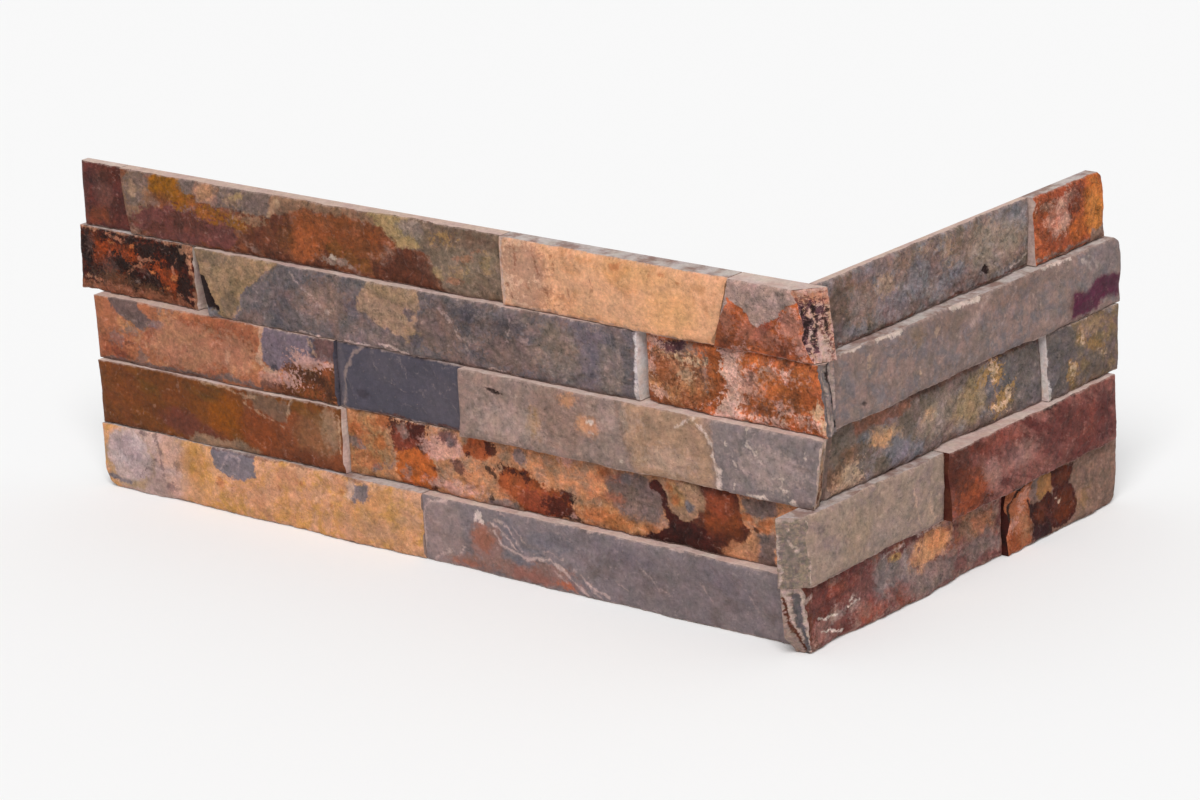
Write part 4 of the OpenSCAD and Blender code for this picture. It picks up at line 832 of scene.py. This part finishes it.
        stain("salmon", poly((118, 32), (141, 32), (141, 20), (138, 8), (138, -2), (118, -2)), soft=0.8, ragged=4),
        stain("tan", oval(132, 9, 7, 6), soft=2, ragged=5, much=0.6),
        stain("rust", oval(126, 8, 5, 6), soft=2, ragged=6, much=0.5),
        stain("pink", oval(134, 22, 4, 5), oval(125, 12, 4, 3), soft=1.2, ragged=9, much=0.7),
        stain("sienna", oval(126, 5, 5, 4), oval(138, 11, 2, 5), oval(124, 26, 4, 3), soft=1, ragged=10, much=0.65),
        stain("smoke", poly((140, 32), (150, 32), (147, 18), (139, 21)), soft=1, ragged=4, much=0.8),
        stain("ochre", poly((144, 29), (156, 29), (155, 18), (146, 17)), soft=1.2, ragged=4, much=0.8),
        stain("wine", poly((138, 21), (142, 17), (147, 17), (153, 20), (156, 12), (155, 0), (138, -1), (140, 8), (139, 14)), soft=0.45, ragged=2.4),
        stain("coal", oval(146, 6, 8, 7), oval(141, 15, 3, 4), soft=1.5, ragged=9, much=0.5),
        stain("violet", oval(145, 4, 6, 4), soft=1, ragged=5, much=0.35),
        stain("wine", poly((154, 28), (172, 28), (168, 17), (155, 17)), oval(162.5, 11, 10.6, 9.6), soft=0.45, ragged=1.8),
        stain("sienna", oval(163, 11, 8, 7), oval(163, 24, 7, 4), oval(147, 12, 4, 4), soft=2.5, ragged=7, much=0.4),
        stain("maroon", line(1.6, (148, 14), (156, 6)), oval(157, 14, 3, 4), soft=1, ragged=7, much=0.6),
        stain("pale", oval(160, 13, 1.2, 0.9), oval(158, 15.5, 0.7, 0.5), soft=0.4, ragged=2, much=0.9),
        # Painted shadow: near-black lines along a leaf step near the left end, set 0.5 mm back, stand in for the step's
        # shadow
        stain("coal", line(2.0, (130, 28), (128, 25), (124, 21), (121, 13)), line(1.8, (130, 27.4), (138, 28)), soft=0.4, ragged=2.4, much=0.95, step=-0.5),
        stain("straw", oval(178, 10, 5, 3, 30), soft=2.5, ragged=7, much=0.6),
        stain("shell", line(0.8, (136, 1), (156, 0.8)), soft=0.5, ragged=3, much=0.4),
    ], rough=1.1, sides=("coal", "mushroom"), tone=(0.98, 0.8, 0.7)),
}


# Shape of a stone: its CAD solid, measured again on a fine grid


def leg_frame(leg, points, course):
    """Points of the row frame, in metres, as s, d and z in millimetres."""
    x, y, z = points[:, 0] / MM, points[:, 1] / MM, points[:, 2] / MM - COURSE * (course - 1)
    return np.stack([x, -y, z] if leg == "long" else [y, x, z], -1)


def row_frame(leg, points, course):
    s, d, z = points[:, 0], points[:, 1], points[:, 2] + COURSE * (course - 1)
    return np.stack([s, -d, z] if leg == "long" else [d, s, z], -1) * MM


def solid_of(node, row):
    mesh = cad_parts[node].data
    points = np.empty(len(mesh.vertices) * 3)
    mesh.vertices.foreach_get("co", points)
    points = leg_frame(row.leg, points.reshape(-1, 3), row.course)
    tree = BVHTree.FromPolygons([tuple(p) for p in points], [tuple(p.vertices) for p in mesh.polygons])
    return tree, points.min(0), points.max(0)


def probe(tree, start, way):
    hit = tree.ray_cast(Vector(start), Vector(way))[0]
    return hit


def softened(values, times, axis):
    """Running mean of three along an axis, which leaves the two ends in place."""
    values = values.copy()
    for _ in range(times):
        inner = [slice(None)] * values.ndim
        before = list(inner)
        after = list(inner)
        inner[axis] = slice(1, -1)
        before[axis] = slice(0, -2)
        after[axis] = slice(2, None)
        values[tuple(inner)] = (values[tuple(before)] + 2 * values[tuple(inner)] + values[tuple(after)]) / 4
    return values


def end_profile(tree, low, high, z, side, layers):
    """The end of a stone at height z from its back to the arris of its face: arrays of s and d."""
    out = high[0] + 30 if side > 0 else low[0] - 30
    deepest = high[1]
    hits = []
    for share in np.linspace(0.02, 0.995, 22):
        hit = probe(tree, (out, share * deepest, z), (-side, 0, 0))
        if hit is not None:
            hits.append((hit.x, hit.y))
    near = hits[0][0]
    corners = list(hits)
    for step in np.linspace(-13, 13, 27):
        hit = probe(tree, (near + step, deepest + 20, z), (0, -1, 0))
        if hit is not None:
            corners.append((hit.x, hit.y))
    corner = max(corners, key=lambda p: side * 0.6 * p[0] + 0.8 * p[1])
    s = np.empty(layers + 1)
    d = np.linspace(0, 1, layers + 1) * corner[1]
    known = sorted((h[1], h[0]) for h in hits if h[1] < corner[1] - 0.2)
    known.append((corner[1], corner[0]))
    s = np.interp(d, [k[0] for k in known], [k[1] for k in known])
    return s, d


def base_mesh(name, row, tree, low, high):
    """Closed mesh of the stone, with attributes that say which way, and how far, each point may break."""
    rows = int(round(STONE_H / GRID_Z))
    zs = np.linspace(0, STONE_H, rows + 1)
    inner_z = np.clip(zs, 0.04, STONE_H - 0.04)
    layers = 18 if row.end else 8
    ends = {}
    for side in (-1, 1):
        pairs = [end_profile(tree, low, high, z, side, layers) for z in inner_z]
        s = np.array([p[0] for p in pairs])
        d = np.array([p[1] for p in pairs])
        times = 1 if row.end else 3
        ends[side] = softened(s, times, 0), softened(d, times, 0)
    (s_a, d_a), (s_b, d_b) = ends[-1], ends[1]
    columns = max(8, int(round((s_b[:, -1].mean() - s_a[:, -1].mean()) / GRID_S)))
    share = np.linspace(0, 1, columns + 1)
    # The face: s and d for each column and row
    face_s = s_a[None, :, -1] * (1 - share[:, None]) + s_b[None, :, -1] * share[:, None]
    face_d = np.empty_like(face_s)
    for j, z in enumerate(inner_z):
        for i in range(columns + 1):
            hit = probe(tree, (face_s[i, j], high[1] + 20, z), (0, -1, 0)) if 0 < i < columns else None
            face_d[i, j] = hit.y if hit is not None else np.nan
        face_d[0, j] = d_a[j, -1]
        face_d[-1, j] = d_b[j, -1]
        known = ~np.isnan(face_d[:, j])
        face_d[:, j] = np.interp(face_s[:, j], face_s[known, j], face_d[known, j])
    face_d = softened(softened(face_d, 6, 0), 6, 1)
    face_d[0], face_d[-1] = d_a[:, -1], d_b[:, -1]

    ids = {}
    points, weights = [], []

    def add(key, s, d, z, riven, ragged, rim):
        ids[key] = len(points)
        points.append((s, d, z))
        weights.append((riven, ragged, rim))

    for j in range(rows + 1):
        z = zs[j]
        for i in range(columns + 1):
            s, d = face_s[i, j], face_d[i, j]
            before, after = s - face_s[0, j], face_s[-1, j] - s
            rim = min(z, STONE_H - z, 1.6 + 1.6 * before, 1.6 + 1.6 * after)
            pull = max(0.0, 1 - before / 4) if row.end and row.leg == "short" else 0.0
            push = max(0.0, 1 - after / 4) if row.end and row.leg == "long" else 0.0
            # The relief dies out towards a sawn end
            riven = min(1.0, 0.3 + min(before, after) / 5) if pull == push else 1.0
            add((i, layers, j), s, d, z, riven, push - pull, max(rim, 0.0))
        for i, (es, ed) in ((0, (s_a, d_a)), (columns, (s_b, d_b))):
            worn = bool(row.end) and (i == 0) == (row.leg == "short")
            for k in range(layers):
                add((i, k, j), es[j, k], ed[j, k], z, k / layers, (1.0 if i else -1.0) if worn else 0.0, 0.0)
    for j in (0, rows):
        for k in range(layers):
            for i in range(1, columns):
                s = s_a[j, k] * (1 - share[i]) + s_b[j, k] * share[i]
                add((i, k, j), s, face_d[i, j] * k / layers, zs[j], k / layers, 0.0, 0.0)

    faces, sides = [], []

    def quad(side, *keys):
        faces.append([ids[k] for k in keys])
        sides.append(side)

    for j in range(rows):
        for i in range(columns):
            quad(0, (i, layers, j), (i, layers, j + 1), (i + 1, layers, j + 1), (i + 1, layers, j))
    for k in range(layers):
        for j in range(rows):
            quad(2, (0, k, j), (0, k, j + 1), (0, k + 1, j + 1), (0, k + 1, j))
            side = 3
            n = columns
            quad(side, (n, k + 1, j), (n, k + 1, j + 1), (n, k, j + 1), (n, k, j))
        for i in range(columns):
            quad(1, (i, k, 0), (i, k + 1, 0), (i + 1, k + 1, 0), (i + 1, k, 0))
            quad(1, (i + 1, k, rows), (i + 1, k + 1, rows), (i, k + 1, rows), (i, k, rows))
    ring = [(i, 0, 0) for i in range(columns)] + [(columns, 0, j) for j in range(rows)]
    ring += [(i, 0, rows) for i in range(columns, 0, -1)] + [(0, 0, j) for j in range(rows, 0, -1)]
    quad(1, *ring)

    mesh = bpy.data.meshes.new(name)
    world = row_frame(row.leg, np.array(points), row.course)
    mesh.from_pydata([tuple(p) for p in world], [], faces)
    weights = np.array(weights, np.float32)
    for n, key in enumerate(("riven", "ragged", "rim")):
        mesh.attributes.new(key, "FLOAT", "POINT").data.foreach_set("value", weights[:, n].copy())
    mesh.attributes.new("side", "INT", "FACE").data.foreach_set("value", np.array(sides, np.int32))
    return mesh


def on_leg(tree, metres, row):
    """s, d and z, in millimetres, from a position in metres."""
    x, y, z = tree.parts(tree.vector("SCALE", metres, scale=1 / MM))
    z = z - COURSE * (row.course - 1)
    return (x, -y, z) if row.leg == "long" else (y, x, z)


INPUTS = (
    ("Seed", 0.0),
    ("Leaf thickness", 0.42),
    ("Grain depth", 2.4),
    ("Chip width", 5.0),
    ("Ridge depth", 0.7),
    ("Thickness", 10.0),
)


def breaking(name, row, materials):
    """Node tree that breaks the base mesh of one stone into leaves, chips and the edges of stains and painted shadows.
    """
    group = bpy.data.node_groups.new("break " + name, "GeometryNodeTree")
    group.interface.new_socket("Geometry", in_out="INPUT", socket_type="NodeSocketGeometry")
    for label, value in INPUTS:
        socket = group.interface.new_socket(label, in_out="INPUT", socket_type="NodeSocketFloat")
        socket.default_value = value
    group.interface.new_socket("Geometry", in_out="OUTPUT", socket_type="NodeSocketGeometry")
    tree = Tree(group)
    entry = group.nodes.new("NodeGroupInput")
    given = {s.name: Sock(tree, s) for s in entry.outputs if s.name}

    def named(key, kind="FLOAT"):
        return tree.put("GeometryNodeInputNamedAttribute", {"data_type": kind}, {"Name": key})

    position = tree.put("GeometryNodeInputPosition")
    s, d, z = on_leg(tree, position, row)
    ground = Ground(tree, s, z, given["Seed"])
    riven, ragged, rim = named("riven"), named("ragged"), named("rim")

    # Leaves: flat terraces with a short steep edge
    whole = ground.leaves.floor()
    part = (ground.leaves - whole).steps(0.38, 0.62)
    relief = (whole + part - 4.5) * given["Leaf thickness"]
    # Grain
    grain, _ = tree.noise(ground.flat, 5.5, 6.0, 0.62)
    relief = relief + (grain - 0.6) * given["Grain depth"]
    pits, _ = tree.noise(ground.flat, 2.1, 2.0, 0.6)
    relief = relief - (0.42 - pits).most(0.0) * given["Grain depth"]
    # Stains and painted shadows that stand out or lie deeper
    for number, mark in enumerate(row.marks):
        if mark.step:
            relief = relief + ground.mask(mark, number) * mark.step
    # Chips along the arrises
    width, _ = tree.noise(ground.flat, 7.0, 6.0, 0.68)
    width = (width - 0.41) * given["Chip width"]
    chip = (width - rim).most(0.0) * 0.7
    relief = relief.least(0.35) - chip
    new_d = (d + relief * riven).least(given["Thickness"])
    # The layered end breaks by layers, which run up the stone
    _, sway = tree.noise(tree.join(d, z, given["Seed"] * 11.0), 9.0, 2.0)
    layer = (tree.parts(sway)[0] * 5.0 + d) * 0.9
    step = tree.put("ShaderNodeTexWhiteNoise", {"noise_dimensions": "1D"}, {"W": layer.floor() + given["Seed"]})
    fine, _ = tree.noise(tree.join(d * 3.0, z, given["Seed"] * 5.0), 5.0, 4.0, 0.6)
    end = (step - 1.0) * given["Ridge depth"] - fine * given["Ridge depth"] * 0.8
    shift_s = end * ragged
    shift_d = new_d - d
    if row.leg == "long":
        offset = tree.join(shift_s, -shift_d, 0.0)
    else:
        offset = tree.join(shift_d, shift_s, 0.0)
    moved = tree.put("GeometryNodeSetPosition", None,
                     {"Geometry": given["Geometry"], "Offset": tree.vector("SCALE", offset, scale=MM)})
    side = tree.put("GeometryNodeInputNamedAttribute", {"data_type": "INT"}, {"Name": "side"})
    for number, material in enumerate(materials):
        chosen = tree.put("FunctionNodeCompare", {"data_type": "INT", "operation": "EQUAL"}, {2: side, 3: number})
        moved = tree.put("GeometryNodeSetMaterial", None, {"Geometry": moved, "Selection": chosen, "Material": material})
    moved = tree.put("GeometryNodeRealizeInstances", None, {"Geometry": moved})
    leave = group.nodes.new("NodeGroupOutput")
    group.links.new(moved.socket, leave.inputs[0])
    return group


def build_stone(name, row, materials):
    tree, low, high = solid_of(name, row)
    mesh = base_mesh(name, row, tree, low, high)
    for material in materials:
        mesh.materials.append(material)
    piece = bpy.data.objects.new("riven_" + name, mesh)
    bpy.context.scene.collection.objects.link(piece)
    group = breaking(name, row, materials)
    modifier = piece.modifiers.new("Break", "NODES")
    modifier.node_group = group
    values = {
        "Seed": float(row.seed),
        "Leaf thickness": 0.42 * row.rough,
        "Grain depth": 2.4 * row.rough,
        "Thickness": float(high[1]),
    }
    for socket in group.interface.items_tree:
        if socket.in_out == "INPUT" and socket.name in values:
            modifier[socket.identifier] = values[socket.name]
    graph = bpy.context.evaluated_depsgraph_get()
    graph.update()
    plain = bpy.data.meshes.new_from_object(piece.evaluated_get(graph), preserve_all_data_layers=True, depsgraph=graph)
    piece.modifiers.clear()
    piece.data = plain
    plain.name = piece.name
    plain.shade_smooth()
    plain.set_sharp_from_angle(angle=math.radians(38))
    for key in ("riven", "ragged", "rim", "side"):
        if key in plain.attributes:
            plain.attributes.remove(plain.attributes[key])
    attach(piece, "root")
    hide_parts(name)
    return piece


# Materials


def new_material(name):
    material = bpy.data.materials.new(name)
    material.use_nodes = True
    material.node_tree.nodes.clear()
    tree = Tree(material.node_tree)
    metres = tree.put("ShaderNodeTexCoord", out=3)
    return material, tree, metres


def close_material(tree, colour, rough, height, relief):
    """Ends a material: base colour, roughness and a bump of that height, in metres."""
    bump = tree.put("ShaderNodeBump", None, {"Strength": 1.0, "Distance": relief, "Height": height})
    shader = tree.put("ShaderNodeBsdfPrincipled", None, {"Base Color": colour, "Roughness": rough, "Specular IOR Level": 0.2, "Normal": bump})
    out = tree.tree.nodes.new("ShaderNodeOutputMaterial")
    tree.tree.links.new(shader.socket, out.inputs["Surface"])


def stained(tree, ground, colours, marks, tilt, flat):
    """The colour of a face: three ground colours in clouds, then the stains and painted shadows in turn."""
    if tilt:
        streak = tree.put("ShaderNodeVectorRotate", {"rotation_type": "Z_AXIS"}, {"Vector": flat, "Angle": math.radians(-tilt)})
        streak = tree.vector("MULTIPLY", streak, (0.28, 1.0, 1.0))
    else:
        streak = flat
    clouds, _ = tree.noise(streak, 8.0, 8.0, 0.7, 0.3)
    drift, _ = tree.noise(streak, 15.0, 8.0, 0.68, 0.4)
    colour = tree.blend(clouds.steps(0.42, 0.6), linear(colours[0]), linear(colours[1]))
    colour = tree.blend(drift.steps(0.5, 0.64), colour, linear(colours[2]))
    for number, mark in enumerate(marks):
        factor = ground.mask(mark, number)
        if mark.much < 1:
            factor = factor * mark.much
        colour = tree.blend(factor, colour, linear(mark.colour))
    return colour


def riven_material(name, row):
    material, tree, metres = new_material("riven " + name)
    s, d, z = on_leg(tree, metres, row)
    ground = Ground(tree, s, z, float(row.seed))
    colour = stained(tree, ground, row.ground, row.marks, row.tilt, ground.flat)
    colour, grain, fleck = weathered_and_shaded(tree, ground, tree.vector("MULTIPLY", colour, row.tone), row.rough)
    close_material(tree, colour, fleck.spread(0.45, 0.85), grain * 1.6 + fleck * 0.5, 0.0005 * row.rough)
    return material


def weathered_and_shaded(tree, ground, colour, rough):
    """Colour with what all riven slate has: grain, drifting hue, leaf edges, bruised arrises, pits and mica; and
    painted shade at the foot of each leaf step.
    """
    grain, tint = tree.noise(ground.flat, 2.4, 8.0, 0.76)
    cloud, hue = tree.noise(ground.flat, 6.5, 7.0, 0.72)
    red, green, _ = tree.parts(tint)
    drift = 0.42 * min(rough, 1.25)
    sways = (drift, drift * 0.5, drift * 0.9)
    hue = tree.put("ShaderNodeVectorMath", {"operation": "MULTIPLY_ADD"}, [hue, sways, tuple(1 - sway / 2 for sway in sways)])
    colour = tree.vector("MULTIPLY", colour, hue)
    light = (grain - 0.5) * (2.4 * rough) + (cloud - 0.5) * (1.4 * rough) + 1.0
    # Fine cracks here and pale veins there, running up and across
    bias = tree.put("ShaderNodeVectorRotate", {"rotation_type": "Z_AXIS"}, {"Vector": ground.flat, "Angle": math.radians(35)})
    crease, _ = tree.noise(tree.vector("MULTIPLY", bias, (0.45, 1.0, 1.0)), 6.0, 5.0, 0.6, 0.8)
    crease = (crease - 0.5).absolute().steps(0.02, 0.004)
    light = light - crease * red.steps(0.46, 0.56) * (0.36 * rough) + crease * red.steps(0.46, 0.4) * (0.32 * rough)
    # Broken leaf edges are pale here and there, and painted shade darkens the foot of each leaf step below them
    part = ground.leaves - ground.leaves.floor()
    fades = red.steps(0.48, 0.62)
    edge = part.steps(0.42, 0.5) - part.steps(0.5, 0.62)
    under = part.steps(0.24, 0.4) - part.steps(0.4, 0.48)
    colour = tree.blend(edge * fades * 0.16, colour, linear("shell"))
    light = light - under * fades * 0.25
    # The arrises are bruised pale
    rim = ground.z.least(STONE_H - ground.z) + ground.tatter[1] * 3.4
    colour = tree.blend((0.45 - rim).steps(-0.3, 0.5) * 0.42, colour, linear("shell"))
    # Specks of mica, and pits
    fleck, _ = tree.noise(ground.flat, 1.0, 3.0, 0.65)
    colour = tree.blend(fleck.steps(0.62, 0.72) * green.steps(0.44, 0.6) * 0.3, colour, linear("cream"))
    light = light - fleck.steps(0.42, 0.3) * (0.45 * min(rough, 1.3))
    return tree.vector("SCALE", colour, scale=light.most(0.3)), grain, fleck


def layered_material(name, row):
    """The broken end at the corner, where the edges of the layers show."""
    base, second, dark, marks = row.end
    material, tree, metres = new_material("layered end of " + name)
    s, d, z = on_leg(tree, metres, row)
    ground = Ground(tree, d, z, float(row.seed) + 0.5, 0.5)
    _, sway = tree.noise(tree.join(d * 0.3, z, float(row.seed)), 8.0, 3.0)
    sway = tree.parts(sway)[0] * 4.0 + d
    bands, _ = tree.noise(tree.join(sway * 2.6, z * 0.35, float(row.seed)), 4.0, 6.0, 0.66)
    colour = tree.blend(bands.steps(0.46, 0.62), linear(base), linear(second))
    colour = tree.blend(bands.steps(0.45, 0.34) * 0.8, colour, linear(dark))
    for number, mark in enumerate(marks):
        colour = tree.blend(ground.mask(mark, number) * mark.much, colour, linear(mark.colour))
    grain, hue = tree.noise(ground.flat, 2.0, 8.0, 0.76)
    hue = tree.put("ShaderNodeVectorMath", {"operation": "MULTIPLY_ADD"}, [hue, (0.5,) * 3, (0.75,) * 3])
    colour = tree.vector("SCALE", tree.vector("MULTIPLY", colour, hue), scale=((grain - 0.5) * 2.4 + 1.0).most(0.3))
    close_material(tree, colour, grain.spread(0.55, 0.9), grain * 1.5 + bands, 0.0006)
    return material


def sawn_material(pale, dark):
    """Sawn slate of two colours: dusty, with the saw's fine lines."""
    material, tree, metres = new_material("sawn " + pale + " slate")
    at = tree.vector("SCALE", metres, scale=1 / MM)
    cloud, hue = tree.noise(at, 9.0, 7.0, 0.68)
    grain, _ = tree.noise(at, 1.6, 7.0, 0.74)
    x, y, z = tree.parts(at)
    saw, _ = tree.noise(tree.join((x + y) * 0.15, z * 1.3, (x - y) * 0.15), 1.3, 3.0, 0.5)
    colour = tree.blend(cloud.steps(0.4, 0.64), linear(pale), linear(dark))
    hue = tree.put("ShaderNodeVectorMath", {"operation": "MULTIPLY_ADD"}, [hue, (0.3, 0.12, 0.3), (0.85, 0.93, 0.86)])
    colour = tree.vector("MULTIPLY", colour, hue)
    colour = tree.vector("SCALE", colour, scale=(grain - 0.5) * 1.1 + (saw - 0.5) * 0.3 + 1.0)
    close_material(tree, colour, 0.85, saw + grain * 0.6, 0.00025)
    return material


def adhesive_material():
    material, tree, metres = new_material("stone adhesive")
    at = tree.vector("SCALE", metres, scale=1 / MM)
    lumps, _ = tree.noise(at, 4.0, 5.0, 0.6)
    colour = tree.blend(lumps.steps(0.4, 0.6), linear("fawn"), linear("smoke"))
    close_material(tree, colour, lumps.spread(0.45, 0.75), lumps, 0.0006)
    return material


SAWN_PAIRS = {
    "dusty": "shell", "mushroom": "ash", "coal": "wine", "cream": "shell", "ink": "blue_grey", "sand": "tan",
    "pale": "shell", "chalk": "dusty", "umber": "wine",
    "bloom": "shell", "dust_grey": "ash", "shell": "mushroom", "ash": "beige",
}
# The backs, tops and bottoms, which differ a little from stone to stone
BACKS = ("dusty", "bloom", "dust_grey")
sawn = {pale: sawn_material(pale, dark) for pale, dark in SAWN_PAIRS.items()}
for node, row in STONES.items():
    low, high = (sawn[colour] for colour in row.sides)
    if row.end and row.leg == "long":
        high = layered_material(node, row)
    elif row.end:
        low = layered_material(node, row)
    back = sawn[BACKS[row.seed % len(BACKS)]]
    build_stone(node, row, [riven_material(node, row), back, low, high])

bead = adhesive_material()
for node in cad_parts:
    if node.startswith("adhesive_bed"):
        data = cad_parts[node].data
        data.materials.clear()
        data.materials.append(bead)

# Stage, light and camera

scene = bpy.context.scene

floor_mesh = bpy.data.meshes.new("floor")
floor_mesh.from_pydata([(-8, -6, 0), (8, -6, 0), (8, 12, 0), (-8, 12, 0)], [], [(0, 1, 2, 3)])
floor = bpy.data.objects.new("floor", floor_mesh)
floor.location.z = -0.0003
scene.collection.objects.link(floor)
paper, paper_tree, _ = new_material("white paper")
close_material(paper_tree, (0.9, 0.9, 0.9, 1.0), 0.9, 0.0, 0.0001)
floor_mesh.materials.append(paper)

world = bpy.data.worlds.new("studio")
scene.world = world
world.use_nodes = True
world.node_tree.nodes.clear()
sky = Tree(world.node_tree)
path = world.node_tree.nodes.new("ShaderNodeLightPath")
seen = Sock(sky, path.outputs["Is Camera Ray"])
lit = sky.put("ShaderNodeBackground", None, {"Color": (1.0, 1.0, 1.0, 1.0), "Strength": seen.spread(0.5, 1.0)})
world_out = world.node_tree.nodes.new("ShaderNodeOutputWorld")
world.node_tree.links.new(lit.socket, world_out.inputs["Surface"])


def sun(name, azimuth, elevation, strength, spread):
    """A soft sun. Azimuth 0 shines along +Y and 90 along -X."""
    light = bpy.data.lights.new(name, "SUN")
    light.energy = strength
    light.angle = math.radians(spread)
    lamp = bpy.data.objects.new(name, light)
    a, e = math.radians(azimuth), math.radians(elevation)
    towards = Vector((math.sin(a) * math.cos(e), -math.cos(a) * math.cos(e), math.sin(e)))
    lamp.rotation_euler = towards.to_track_quat("Z", "Y").to_euler()
    scene.collection.objects.link(lamp)


sun("key", 36.0, 50.0, 2.3, 30.0)

lens = bpy.data.cameras.new("camera")
lens.sensor_width = 36.0
lens.lens = 4463.38 / 1200 * 36.0
lens.clip_start = 0.05
lens.clip_end = 50.0
camera = bpy.data.objects.new("camera", lens)
yaw, pitch, roll = 0.69850, 0.30728, 0.04986
ahead = Vector((-math.sin(yaw) * math.cos(pitch), math.cos(yaw) * math.cos(pitch), -math.sin(pitch)))
right = Vector((math.cos(yaw), math.sin(yaw), 0.0))
down = ahead.cross(right)
across = math.cos(roll) * right + math.sin(roll) * down
under = -math.sin(roll) * right + math.cos(roll) * down
camera.matrix_world = Matrix.Translation((1.0210982, -1.3472015, 0.6415635)) @ Matrix((across, -under, -ahead)).transposed().to_4x4()
scene.collection.objects.link(camera)
scene.camera = camera

scene.view_settings.view_transform = "Standard"
